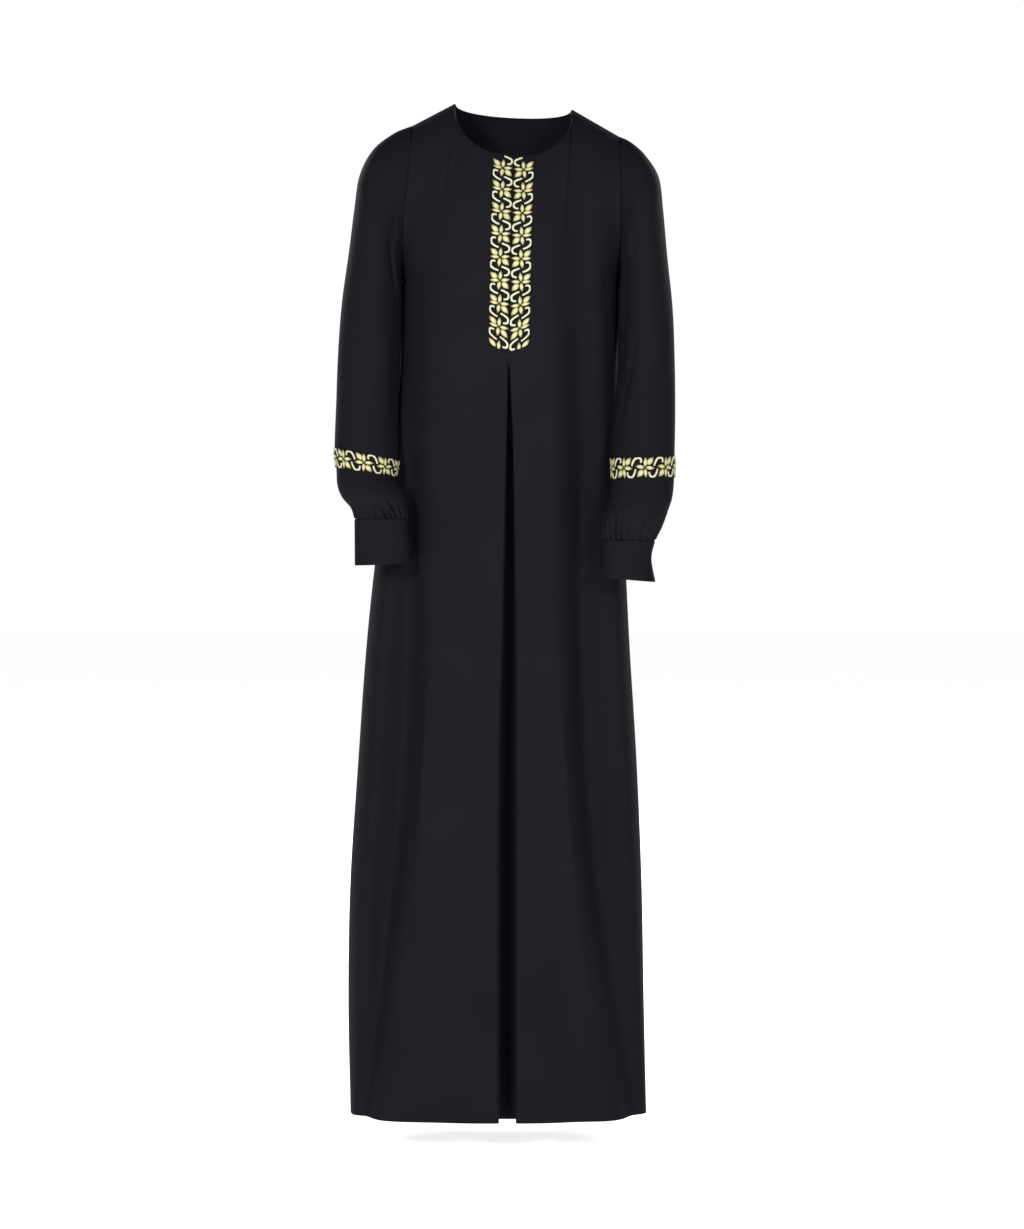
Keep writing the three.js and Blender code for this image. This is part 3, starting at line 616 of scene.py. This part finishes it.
# Gathers fan up from the cuff seam. Each is at so many degrees round, dies away at a ring, has a depth
# and leans by so many degrees a ring.
gathers = {
    -1: [
        (4, 12.6, -2.0, 2), (22, 11.9, -2.8, 4), (43, 12.8, -2.0, 3), (60, 12.2, -2.4, 2),
        (76, 11.6, -3.0, 3), (90, 12.4, -2.2, -2), (103, 11.9, -2.8, -4), (117, 12.7, -2.2, -6),
        (129, 11.5, -3.0, -5), (144, 12.2, -2.4, -4), (161, 12.6, -2.2, 3), (182, 11.9, -2.8, 4),
        (200, 12.6, -2.0, 2), (223, 12.1, -2.6, -3), (241, 12.8, -2.0, -2), (262, 11.8, -2.8, 4),
        (280, 12.5, -2.2, 3), (301, 12.0, -2.6, -2), (322, 12.7, -2.0, -3), (343, 12.2, -2.6, 2),
    ],
    1: [
        (8, 12.4, -2.2, 3), (27, 12.0, -2.6, 2), (46, 12.6, -2.0, 4), (62, 11.8, -2.8, 3),
        (79, 12.3, -2.3, 5), (92, 11.7, -3.0, 4), (106, 12.4, -2.2, 6), (118, 11.6, -2.9, 5),
        (133, 12.1, -2.4, 4), (149, 12.6, -2.0, 3), (167, 12.0, -2.8, -2), (187, 12.6, -2.2, 3),
        (207, 12.0, -2.6, 2), (226, 12.7, -2.0, -3), (246, 12.1, -2.7, 3), (264, 12.6, -2.1, -2),
        (284, 11.9, -2.8, 4), (304, 12.5, -2.2, 2), (324, 12.0, -2.6, -3), (345, 12.6, -2.1, 2),
    ],
}


def armholeLoop(side, degrees):
    # the panels' armhole edges as one loop, from the shoulder down the front and up the back
    climb = np.abs(1 - degrees / 180)
    onePlace = np.array([2.0])
    edgeOne = np.array([1.0])

    def seamColumn(facing, folds, first):
        sets = panelColumns(np.array([float(columns["seam"][facing])]), first, 0.5, folds, side, facing)
        return yokePoints(sets["below"], onePlace, edgeOne, side, facing, climb)[:, 0]

    front = seamColumn(-1, frontFolds[side], lambda z: (0.1 * side + 0 * z, 0 * z))
    back = seamColumn(1, backFolds[side], lambda z: foldKnot(middleBackFold, z))
    loop = np.where((degrees <= 180)[:, None], front, back)
    loop[:, 0] += side * 0.3
    return loop


def angleBetween(a, b):
    return (a - b + 540) % 360 - 180


def ringPoints(table, ring):
    # the table's values at a column of ring numbers, the middle line and the way from it to the outer line
    numbers = range(len(table["outerX"]))
    value = {key: curveThrough(numbers, table[key], ring) for key in table}
    outer = np.stack([value["outerX"], value["middleY"], value["outerZ"]], axis=-1)
    inner = np.stack([value["innerX"], value["middleY"], value["innerZ"]], axis=-1)
    middle = (outer + inner) / 2
    return value, middle, outer - middle


def sleeveGrid(side, rings, degrees):
    # points of the sleeve in rows from the armhole down, with creases and gathers
    ring = rings.reshape(-1, 1)
    angle = np.radians(degrees).reshape(1, -1)
    value, middle, outwards = ringPoints(sleeveRings[side], ring)
    oval = smoothStep(0, sleeve["ringsFromArmhole"], ring)
    loop = armholeLoop(side, degrees)
    top, bottom = loop[np.argmin(np.abs(degrees))], loop[np.argmin(np.abs(degrees - 180))]
    share = (loop[:, 2] - bottom[2]) / (top[2] - bottom[2])
    along = np.cos(angle) + (2 * share[None] - 1 - np.cos(angle)) * (1 - oval)
    forwards = np.sin(angle) * value["halfDepth"]
    forwards = forwards + (-loop[None, :, 1] - forwards) * (1 - oval)
    points = middle + outwards * along[..., None]
    points[..., 1] = value["middleY"] - forwards
    toLoop = (1 - smoothStep(0, 0.6, ring))[..., None]
    points = points + (loop[None] - points) * toLoop
    away = points - middle
    away = away / np.linalg.norm(away, axis=2, keepdims=True)
    moved = np.zeros(points.shape[:2])
    for crease in sleeveCreases[side]:
        (d0, d1), (r0, r1) = crease["degrees"], crease["ring"]
        span = (ring - r0) / (r1 - r0)
        centre = d0 + (d1 - d0) * np.clip(span, 0, 1)
        swell = np.where((span > 0) & (span < 1), np.sin(math.pi * np.clip(span, 0, 1)), 0)
        moved += crease["out"] * swell * np.exp(-(angleBetween(degrees[None], centre) / crease["width"]) ** 2)
    low, high = sleeve["fuller"]["degrees"]
    for place, start, out, lean in gathers[side]:
        grown = smoothStep(start, start + 1.8, ring)
        out = out * (sleeve["fuller"]["times"] if low < place < high else 1)
        centre = place + lean * (sleeve["cuffRing"] - ring)
        width = 3.2 + 1.6 * smoothStep(sleeve["cuffRing"], 12, ring)
        moved += out * grown * np.exp(-(angleBetween(degrees[None], centre) / width) ** 2)
    moved += sleeve["puff"] * smoothStep(11.5, 13.5, ring)
    return points + away * moved[..., None]


def sleeveNormals(side, grid):
    return gridNormals(grid, closed=True) * side


def roundSteps(count):
    return np.arange(count) * 360 / count


def tuckIn(grid):
    # the gathered end turns in and goes a little way down inside the cuff
    middle = grid[-1].mean(axis=0)
    turned = middle + (grid[-1] - middle) * sleeve["tuck"]["share"]
    rows = [turned + np.array([0, 0, -down]) for down in sleeve["tuck"]["down"]]
    return np.concatenate([grid, rows], axis=0)


def buildSleeve(side, name):
    upper = np.linspace(0, 10, 10 * sleeve["steps"] + 1)
    gathered = np.linspace(10, sleeve["cuffRing"], 5 * sleeve["gatherSteps"] + 1)[1:]
    rings = np.unique(np.concatenate([[0.02, 0.06], upper, gathered]))
    grid = sleeveGrid(side, rings, roundSteps(sleeve["columns"]))
    grid = sinkEdges(grid, sleeveNormals(side, grid), ["top", "bottom"], **body["sink"])
    grid = tuckIn(grid)
    if side < 0:
        grid = grid[::-1]
    obj = sheetObject(name, grid, closed=True)
    giveWall(obj, body["wall"], body["rim"])
    return obj


sleeveCloth = {side: buildSleeve(side, "sleeve" + word) for side, word in sides.items()}
print("sleeves made")


# cuffs

cuff = {
    "rows": 26,
    "columns": 144,
    "wall": 1.6,
    "rim": 0.5,
    "sink": {"depth": 0.8, "reach": 2.2},
    # rings from the seam down to the open end
    "rings": {
        -1: columnsOf(ringNames, [
            (-212.8, -568, -140.7, -568, -104, 27),
            (-212.6, -600, -138.8, -599, -106, 27),
            (-212.4, -631, -136.2, -628, -108, 28),
        ]),
        1: columnsOf(ringNames, [
            (193.4, -597, 120.4, -597, -106, 27),
            (188.4, -622, 120.2, -620, -108, 27),
            (193.6, -653, 120.6, -647, -110, 28),
        ]),
    },
    # soft dents: degrees round, rings down, depth and width
    "dents": {
        -1: [(62, 1.2, -0.9, 16), (128, 0.5, -0.8, 12), (250, 1.0, -0.9, 18)],
        1: [(48, 0.9, -1.0, 16), (110, 1.4, -0.7, 14), (285, 0.8, -0.9, 18)],
    },
    "dentReach": 0.5,
}


def buildCuff(side, name):
    steps = np.unique(np.concatenate([np.linspace(0, 2, cuff["rows"]), [0.03, 0.07, 1.93, 1.97]]))
    degrees = roundSteps(cuff["columns"])
    ring = steps.reshape(-1, 1)
    value, middle, outwards = ringPoints(cuff["rings"][side], ring)
    angle = np.radians(degrees).reshape(1, -1)
    grid = middle + outwards * np.cos(angle)[..., None]
    grid[..., 1] = value["middleY"] - np.sin(angle) * value["halfDepth"]
    moved = np.zeros(grid.shape[:2])
    for place, down, out, width in cuff["dents"][side]:
        away = angleBetween(degrees[None], place) / width
        moved += out * np.exp(-away ** 2 - ((ring - down) / cuff["dentReach"]) ** 2)
    grid = grid + sleeveNormals(side, grid) * moved[..., None]
    grid = sinkEdges(grid, sleeveNormals(side, grid), ["bottom"], **cuff["sink"])
    if side < 0:
        grid = grid[::-1]
    obj = sheetObject(name, grid, closed=True)
    giveWall(obj, cuff["wall"], cuff["rim"])
    return obj


cuffCloth = {side: buildCuff(side, "cuff" + word) for side, word in sides.items()}
print("cuffs made")


# leaf-and-scroll trims: a thin dark band with satin-stitched leaves and scrolls on it

trim = {
    "width": 27.5,
    "gap": 0.25,
    "pointRise": 13,
    "lift": 0.5,       # of the band's underside over the cloth
    "band": 0.7,
    "stitch": 0.95,    # height of a leaf over the band
    "pitch": 31.4,
    "firstNode": {-1: -10.4, 1: -9.2},  # the topmost repeat is cut off by the neckline
    "node": 13.6,      # from the outer edge to where the leaves meet
    # each leaf: its middle across and along from there, its length and its width
    "leaves": [
        ((-8.2, -7.0), 12.6, 7.8), ((-7.2, -0.4), 12.8, 5.1), ((0.7, -6.9), 12.4, 5.4),
        ((7.4, -0.6), 12.4, 5.1), ((7.6, 6.8), 12.6, 8.1), ((-1.0, 7.1), 12.2, 5.5),
    ],
    # each scroll: places along its line, across and along from there
    "scrolls": [
        [(-6.0, 5.6), (-10.4, 5.3), (-12.6, 8.8), (-11.6, 13.0), (-7.2, 16.2), (-2.0, 18.2)],
        [(2.0, 13.0), (7.4, 14.9), (11.6, 17.4), (12.5, 21.0), (10.2, 24.2), (5.8, 25.2)],
    ],
    "scrollThick": 3.5,
    "scrollTurn": 250,   # degrees of the modelled ring that are kept
    "margin": 0.4,       # kept free along the band's edges
    "cutOff": 0.35,      # a leaf or scroll more than this far past the band's end is left out
    "unevenness": 0.15,
    "frontRepeats": 11,
    "sleeveStart": 6,
}


def leafShape():
    # a ball stretched to a leaf: blunt where it is sewn to the stem, pointed at its tip
    bpy.ops.mesh.primitive_uv_sphere_add(segments=12, ring_count=8, radius=0.5, location=(0, 0, 0))
    obj = bpy.context.object
    obj.name = "leafShape"
    bpy.ops.object.mode_set(mode="EDIT")
    bpy.ops.mesh.select_all(action="SELECT")
    bpy.ops.transform.rotate(value=math.pi / 2, orient_axis="Y", center_override=(0, 0, 0))
    bpy.ops.mesh.select_all(action="DESELECT")
    bpy.ops.object.mode_set(mode="OBJECT")
    # slices along the leaf that are drawn in, from, to and how far
    for low, high, size in ((0.1, 0.25, 0.86), (0.25, 0.4, 0.66), (0.4, 0.49, 0.52), (-0.49, -0.4, 0.8)):
        for vertex in obj.data.vertices:
            vertex.select = low < vertex.co.x < high
        bpy.ops.object.mode_set(mode="EDIT")
        bpy.ops.transform.resize(value=(1, size, size), center_override=(0, 0, 0))
        bpy.ops.mesh.select_all(action="DESELECT")
        bpy.ops.object.mode_set(mode="OBJECT")
    return takeShape(obj)


def scrollShape():
    # a ring cut open, its ends closed and drawn thin
    bpy.ops.mesh.primitive_torus_add(major_radius=1, minor_radius=0.25, major_segments=36, minor_segments=8)
    obj = bpy.context.object
    obj.name = "scrollShape"
    mesh = obj.data
    bpy.ops.object.mode_set(mode="EDIT")
    bpy.ops.mesh.select_all(action="DESELECT")
    bpy.ops.mesh.select_mode(type="FACE")
    bpy.ops.object.mode_set(mode="OBJECT")
    for polygon in mesh.polygons:
        turned = math.degrees(math.atan2(polygon.center.y, polygon.center.x)) % 360
        polygon.select = turned > trim["scrollTurn"]
    bpy.ops.object.mode_set(mode="EDIT")
    bpy.ops.mesh.delete(type="FACE")
    bpy.ops.mesh.select_mode(type="VERT")
    bpy.ops.mesh.select_all(action="SELECT")
    bpy.ops.mesh.fill_holes(sides=0)
    bpy.ops.mesh.normals_make_consistent(inside=False)
    bpy.ops.object.mode_set(mode="OBJECT")
    return takeShape(obj)


def takeShape(obj):
    # keeps a modelled shape's points and faces for copying, and clears the original away
    mesh = obj.data
    points = np.array([vertex.co[:] for vertex in mesh.vertices])
    faces = [tuple(polygon.vertices) for polygon in mesh.polygons]
    bpy.data.objects.remove(obj)
    return points, faces


leafPoints, leafFaces = leafShape()
scrollPoints, scrollFaces = scrollShape()


def placedLeaf(leaf):
    # the modelled leaf in its place across and along, and where each of its points lies on its threads
    (across, along), length, width = leaf
    direction = math.atan2(along, across)
    x = leafPoints[:, 0] * length
    y = leafPoints[:, 1] * width
    height = leafPoints[:, 2] * 2 * trim["stitch"]
    flat = np.stack([across + x * math.cos(direction) - y * math.sin(direction),
                     along + x * math.sin(direction) + y * math.cos(direction), height], axis=-1)
    return flat, np.stack([x, y], axis=-1)


def placedScroll(line):
    # the modelled ring's length laid along the scroll's own line
    line = np.array(line)
    last = len(line) - 1

    def onLine(place):
        return np.stack([curveThrough(range(len(line)), line[:, k], place) for k in (0, 1)], axis=-1)

    turned = np.arctan2(scrollPoints[:, 1], scrollPoints[:, 0]) % (2 * math.pi)
    share = np.clip(turned / math.radians(trim["scrollTurn"]), 0, 1)
    place = share * last
    step = onLine(np.minimum(place + 0.05, last)) - onLine(np.maximum(place - 0.05, 0))
    forwards = step / np.linalg.norm(step, axis=1, keepdims=True)
    beside = np.stack([forwards[:, 1], -forwards[:, 0]], axis=-1)
    radius = (np.hypot(scrollPoints[:, 0], scrollPoints[:, 1]) - 1) / 0.5
    thin = (0.72 + 0.28 * np.sin(math.pi * np.clip(share, 0.05, 0.95)) ** 0.6) * trim["scrollThick"]
    flat = onLine(place) + beside * (radius * thin)[:, None]
    height = scrollPoints[:, 2] / 0.25 * trim["stitch"] * 0.9
    return np.column_stack([flat, height]), np.stack([place * 5, radius * thin], axis=-1)


def spreadStitches(name, grid, normals, alongLengths, acrossLengths, count, start, closed, flip):
    # lays the motif along a band given as a grid of points: rows run along it and columns across it
    allPoints, allFaces, allUvs, threadKinds, raised = [], [], [], [], []
    total = alongLengths[-1]
    rowsAt = np.arange(len(alongLengths))
    colsAt = np.arange(len(acrossLengths))
    pitch = total / count if closed else trim["pitch"]
    rng = np.random.default_rng(7)
    for repeat in range(count):
        node = start + repeat * pitch
        units = [(placedLeaf(leaf), leafFaces, 0) for leaf in trim["leaves"]]
        units += [(placedScroll(line), scrollFaces, 1) for line in trim["scrolls"]]
        for (flat, thread), faces, kind in units:
            across = trim["node"] + flat[:, 0]
            along = node + flat[:, 1] + rng.uniform(-trim["unevenness"], trim["unevenness"])
            if not closed:
                if np.mean((along < 0) | (along > total)) > trim["cutOff"]:
                    continue
                along = np.clip(along, 0.3, total - 0.3)
            else:
                along = along % total
            fr = np.interp(along, alongLengths, rowsAt)
            inside = np.clip(across, trim["margin"], acrossLengths[-1] - trim["margin"])
            fc = np.interp(inside, acrossLengths, colsAt)
            r0 = np.clip(np.floor(fr).astype(int), 0, grid.shape[0] - 2)
            c0 = np.clip(np.floor(fc).astype(int), 0, grid.shape[1] - 2)
            tr, tc = (fr - r0)[:, None], (fc - c0)[:, None]

            def blend(values):
                low = values[r0, c0] * (1 - tc) + values[r0, c0 + 1] * tc
                high = values[r0 + 1, c0] * (1 - tc) + values[r0 + 1, c0 + 1] * tc
                return low * (1 - tr) + high * tr

            points = blend(grid) + blend(normals) * flat[:, [2]]
            base = sum(len(p) for p in allPoints)
            turn = not flip if kind else flip
            for face in faces:
                face = face[::-1] if turn else face
                allFaces.append(tuple(base + v for v in face))
                allUvs += [tuple(thread[v]) for v in face]
                threadKinds.append(kind)
            allPoints.append(points)
            raised.append(np.clip(flat[:, 2] / flat[:, 2].max(), 0, 1))
    obj = meshObject(name, np.concatenate(allPoints), allFaces)
    obj.data.uv_layers.new(name="thread").data.foreach_set("uv", (np.array(allUvs) / 1000).reshape(-1))
    obj.data.polygons.foreach_set("material_index", threadKinds)
    # the stitches' height, which the thread finish uses as the mask for painted shade near their rims
    height = obj.data.attributes.new("raised", "FLOAT", "POINT")
    height.data.foreach_set("value", np.concatenate(raised).astype(np.float32))
    fixInsideOut(obj)
    return obj


def fixInsideOut(obj):
    selectOnly(obj)
    bpy.ops.object.mode_set(mode="EDIT")
    bpy.ops.mesh.select_all(action="SELECT")
    bpy.ops.mesh.normals_make_consistent(inside=False)
    bpy.ops.object.mode_set(mode="OBJECT")
    obj.select_set(False)


def frontTrimGrid(side):
    # the trim's place on the front: rows from the neckline down, columns from its outer edge to the middle
    distances = np.linspace(frontPanel["trimEdge"], trim["gap"], 12)
    columnSet = besideColumns(distances, side)
    climbs = np.linspace(1, 0, 40)
    upper = yokePoints(columnSet["below"], columnSet["top"], columnSet["edge"], side, -1, climbs)
    levels = np.linspace(body["underarm"], pleat["tip"], 24)[1:].reshape(-1, 1)
    pointed = pleat["tip"] + trim["pointRise"] * distances / frontPanel["trimEdge"]
    share = (body["underarm"] - levels) / (body["underarm"] - pleat["tip"])
    heights = body["underarm"] - share * (body["underarm"] - pointed[None])
    across = pleatMiddle(heights) + side * distances[None]
    lower = bodyPoints(turnAt(across, heights), 0, heights, -1)
    grid = np.concatenate([upper, lower], axis=0)
    normals = gridNormals(grid)
    return grid, normals if normals[..., 1].mean() < 0 else -normals


def buildFrontTrim(side, word):
    grid, normals = frontTrimGrid(side)
    top = grid + normals * (trim["lift"] + trim["band"])
    ordered = top[::-1] if side < 0 else top[::-1, ::-1]
    band = sheetObject("frontTrimBand" + word, ordered)
    giveWall(band, trim["band"], 0.2)
    middle = grid.shape[1] // 2
    alongLengths = runLengths(top[:, middle])
    acrossLengths = runLengths(top[grid.shape[0] // 2])
    stitches = spreadStitches("frontTrimStitches" + word, top, normals, alongLengths, acrossLengths,
                              trim["frontRepeats"], trim["firstNode"][side], False, side > 0)
    return band, stitches, alongLengths[-1]


def buildSleeveTrim(side, word):
    rings = np.linspace(sleeve["trimTop"], sleeve["trimBottom"], 9)
    degrees = roundSteps(216)
    surface = sleeveGrid(side, rings, degrees)
    normals = sleeveNormals(side, surface)
    top = surface + normals * (trim["lift"] + trim["band"])
    band = sheetObject("sleeveTrimBand" + word, top[::-1] if side < 0 else top, closed=True)
    giveWall(band, trim["band"], 0.2)
    # rows along the band go round the sleeve, and its first row comes again at the end
    bandTop, bandNormals = [np.concatenate([grid, grid[:, :1]], axis=1).transpose(1, 0, 2)
                            for grid in (top, normals)]
    alongLengths = runLengths(bandTop[:, len(rings) // 2])
    acrossLengths = runLengths(bandTop[len(degrees) // 4])  # over the front of the sleeve
    acrossLengths = acrossLengths * trim["width"] / acrossLengths[-1]
    count = round(alongLengths[-1] / trim["pitch"])
    stitches = spreadStitches("sleeveTrimStitches" + word, bandTop, bandNormals, alongLengths, acrossLengths,
                              count, trim["sleeveStart"], True, side < 0)
    return band, stitches, alongLengths[-1]


frontTrims = {side: buildFrontTrim(side, word) for side, word in sides.items()}
sleeveTrims = {side: buildSleeveTrim(side, word) for side, word in sides.items()}
print("trims made")


# finishes

finish = {
    "cloth": {"colour": (0.0075, 0.0070, 0.0096), "roughness": 0.75, "specular": 0.02, "sheen": 0.0},
    "band": {"colour": (0.0040, 0.0039, 0.0048), "roughness": 0.8, "specular": 0.08, "sheen": 0.0},
    # the edge colours of leaf and scroll are painted shade, laid where the stitches turn down into the band
    "leaf": {"colour": (0.62, 0.59, 0.34), "edge": (0.17, 0.165, 0.032),
             "roughness": 0.45, "specular": 0.4, "sheen": 0.1},
    "scroll": {"colour": (0.64, 0.63, 0.47), "edge": (0.20, 0.20, 0.09),
               "roughness": 0.42, "specular": 0.4, "sheen": 0.1},
}


def addNode(tree, kind, inputs=(), **settings):
    # a shader node; each input is given a value or another node's output
    node = tree.nodes.new(kind)
    for name, value in settings.items():
        setattr(node, name, value)
    for name, value in dict(inputs).items():
        if isinstance(value, bpy.types.NodeSocket):
            tree.links.new(value, node.inputs[name])
        else:
            node.inputs[name].default_value = value
    return node


def addRamp(tree, fac, places, colours):
    ramp = addNode(tree, "ShaderNodeValToRGB", {"Fac": fac})
    for element, place, colour in zip(ramp.color_ramp.elements, places, colours):
        element.position = place
        element.color = (*colour, 1)
    return ramp.outputs["Color"]


def makeMaterial(name, values):
    material = bpy.data.materials.new(name)
    material.use_nodes = True
    shader = material.node_tree.nodes["Principled BSDF"]
    shader.inputs["Base Color"].default_value = (*values["colour"], 1)
    shader.inputs["Roughness"].default_value = values["roughness"]
    shader.inputs["Specular IOR Level"].default_value = values["specular"]
    shader.inputs["Sheen Weight"].default_value = values["sheen"]
    shader.inputs["Sheen Roughness"].default_value = 0.45
    return material, material.node_tree, shader


def makeCloth(name, values, threads):
    # crepe: a fine plain weave with an uneven grain, laid out along the cloth's own UV map
    material, tree, shader = makeMaterial(name, values)
    uv = addNode(tree, "ShaderNodeUVMap", uv_map="cloth").outputs["UV"]
    warp, weft = [addNode(tree, "ShaderNodeTexWave",
                          {"Vector": uv, "Scale": threads, "Distortion": 1.2, "Detail": 1},
                          bands_direction=direction).outputs["Fac"] for direction in ("X", "Y")]
    grain = addNode(tree, "ShaderNodeTexNoise", {"Vector": uv, "Scale": 900, "Detail": 3}).outputs["Fac"]
    woven = addNode(tree, "ShaderNodeMath", {0: warp, 1: weft}, operation="MULTIPLY").outputs[0]
    rough = addNode(tree, "ShaderNodeMath", {0: woven, 1: grain}, operation="ADD").outputs[0]
    bump = addNode(tree, "ShaderNodeBump", {"Strength": 0.22, "Distance": 0.0002, "Height": rough})
    tree.links.new(bump.outputs["Normal"], shader.inputs["Normal"])
    # the dye takes a little unevenly
    cloud = addNode(tree, "ShaderNodeTexNoise", {"Vector": uv, "Scale": 9, "Detail": 4}).outputs["Fac"]
    tones = [[c * share for c in values["colour"]] for share in (0.93, 1.07)]
    tree.links.new(addRamp(tree, cloud, (0.3, 0.7), tones), shader.inputs["Base Color"])
    return material


def makeThread(name, values):
    # satin stitch: fine threads side by side across each leaf and scroll
    material, tree, shader = makeMaterial(name, values)
    uv = addNode(tree, "ShaderNodeUVMap", uv_map="thread").outputs["UV"]
    threads = addNode(tree, "ShaderNodeTexWave", {"Vector": uv, "Scale": 700, "Distortion": 0.6},
                      bands_direction="X").outputs["Fac"]
    bump = addNode(tree, "ShaderNodeBump", {"Strength": 0.5, "Distance": 0.0002, "Height": threads})
    tree.links.new(bump.outputs["Normal"], shader.inputs["Normal"])
    between = addRamp(tree, threads, (0, 1), ((0.74, 0.74, 0.7), (1, 1, 1)))
    # painted shade: darker, olive, where the stitches turn down into the ground, and the thread's full colour
    # along the top
    raised = addNode(tree, "ShaderNodeAttribute", attribute_name="raised").outputs["Fac"]
    shade = addRamp(tree, raised, (0.3, 0.98), (values["edge"], values["colour"]))
    mix = addNode(tree, "ShaderNodeMix", data_type="RGBA", blend_type="MULTIPLY")
    mix.inputs["Factor"].default_value = 1
    tree.links.new(shade, mix.inputs["A"])
    tree.links.new(between, mix.inputs["B"])
    tree.links.new(mix.outputs["Result"], shader.inputs["Base Color"])
    return material


blackCloth = makeCloth("blackCrepe", finish["cloth"], 620)
blackBand = makeCloth("trimGround", finish["band"], 420)
leafThread = makeThread("leafThread", finish["leaf"])
scrollThread = makeThread("scrollThread", finish["scroll"])

for obj in [frontCloth, backCloth, *sleeveCloth.values(), *cuffCloth.values()]:
    obj.data.materials.append(blackCloth)
for band, stitches, _ in [*frontTrims.values(), *sleeveTrims.values()]:
    band.data.materials.append(blackBand)
    stitches.data.materials.append(leafThread)
    stitches.data.materials.append(scrollThread)
print("finishes made")


# what each piece stands for: it hangs from the root and takes the place of its part of the frame


def clothPiece(obj, node):
    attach(obj, "root")
    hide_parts(node)


clothPiece(frontCloth, "front")
clothPiece(backCloth, "back")
for side, word in ((-1, "left"), (1, "right")):
    clothPiece(sleeveCloth[side], f"sleeve_{word}")
    clothPiece(cuffCloth[side], f"cuff_{word}")
    for trims, node, carrier in ((frontTrims, f"front_trim_{word}", "frontPanel"),
                                 (sleeveTrims, f"sleeve_trim_{word}", sleeveCloth[side].name)):
        band, stitches, length = trims[side]
        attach(stitches, "root")
        clothPiece(band, node)


# floor, light and camera

studio = {
    "floor": -1.422,
    "floorSize": 40,
    "paper": {"colour": (0.88, 0.88, 0.885), "roughness": 0.9, "glow": 0.84},
    "camera": (0, -6.5, -0.5),
    "aim": (0, 0, -0.7007),
    "lens": 138.7,
    "lampAim": (0, 0, -0.7),
    "ambient": 0.16,  # the light that comes from the white backdrop
    "backdrop": 1.0,  # and how bright it shows
    "lamps": [
        {"name": "keyLamp", "place": (-2.5, -5.4, 1.1), "size": 1.2, "power": 292},
        {"name": "fillLamp", "place": (2.5, -5.4, 0.9), "size": 1.2, "power": 176},
        {"name": "backLampLeft", "place": (-3.2, 5.2, 1.6), "size": 1.6, "power": 230},
        {"name": "backLampRight", "place": (3.2, 5.2, 1.6), "size": 1.6, "power": 230},
    ],
}
bpy.context.scene.view_settings.view_transform = "Standard"

bpy.ops.mesh.primitive_plane_add(size=studio["floorSize"], location=(0, 0, studio["floor"]))
floor = bpy.context.object
floor.name = "studioPaper"
paper = bpy.data.materials.new("studioPaper")
paper.use_nodes = True
paperShader = paper.node_tree.nodes["Principled BSDF"]
paperShader.inputs["Base Color"].default_value = (*studio["paper"]["colour"], 1)
paperShader.inputs["Roughness"].default_value = studio["paper"]["roughness"]
paperShader.inputs["Emission Color"].default_value = (1, 1, 1, 1)
paperShader.inputs["Emission Strength"].default_value = studio["paper"]["glow"]
floor.data.materials.append(paper)

# a white backdrop on every side, which gives far less light than it shows
world = bpy.data.worlds.new("studioWorld")
bpy.context.scene.world = world
world.use_nodes = True
tree, white = world.node_tree, (1, 1, 1, 1)
ambient = tree.nodes["Background"]
ambient.inputs["Color"].default_value = white
ambient.inputs["Strength"].default_value = studio["ambient"]
backdrop = addNode(tree, "ShaderNodeBackground", {"Color": white, "Strength": studio["backdrop"]})
ray = addNode(tree, "ShaderNodeLightPath")
choice = addNode(tree, "ShaderNodeMixShader", {"Fac": ray.outputs["Is Camera Ray"],
                                               1: ambient.outputs[0], 2: backdrop.outputs[0]})
tree.links.new(choice.outputs[0], tree.nodes["World Output"].inputs["Surface"])


def putInStudio(name, data, at, aim):
    obj = bpy.data.objects.new(name, data)
    obj.location = at
    obj.rotation_euler = (Vector(aim) - Vector(at)).to_track_quat("-Z", "Y").to_euler()
    bpy.context.scene.collection.objects.link(obj)
    return obj


for lamp in studio["lamps"]:
    data = bpy.data.lights.new(lamp["name"], "AREA")
    data.size = lamp["size"]
    data.energy = lamp["power"]
    putInStudio(lamp["name"], data, lamp["place"], studio["lampAim"])

cameraData = bpy.data.cameras.new("photoCamera")
cameraData.sensor_fit = "VERTICAL"
cameraData.sensor_height = 36
cameraData.lens = studio["lens"]
bpy.context.scene.camera = putInStudio("photoCamera", cameraData, studio["camera"], studio["aim"])
print("studio ready")
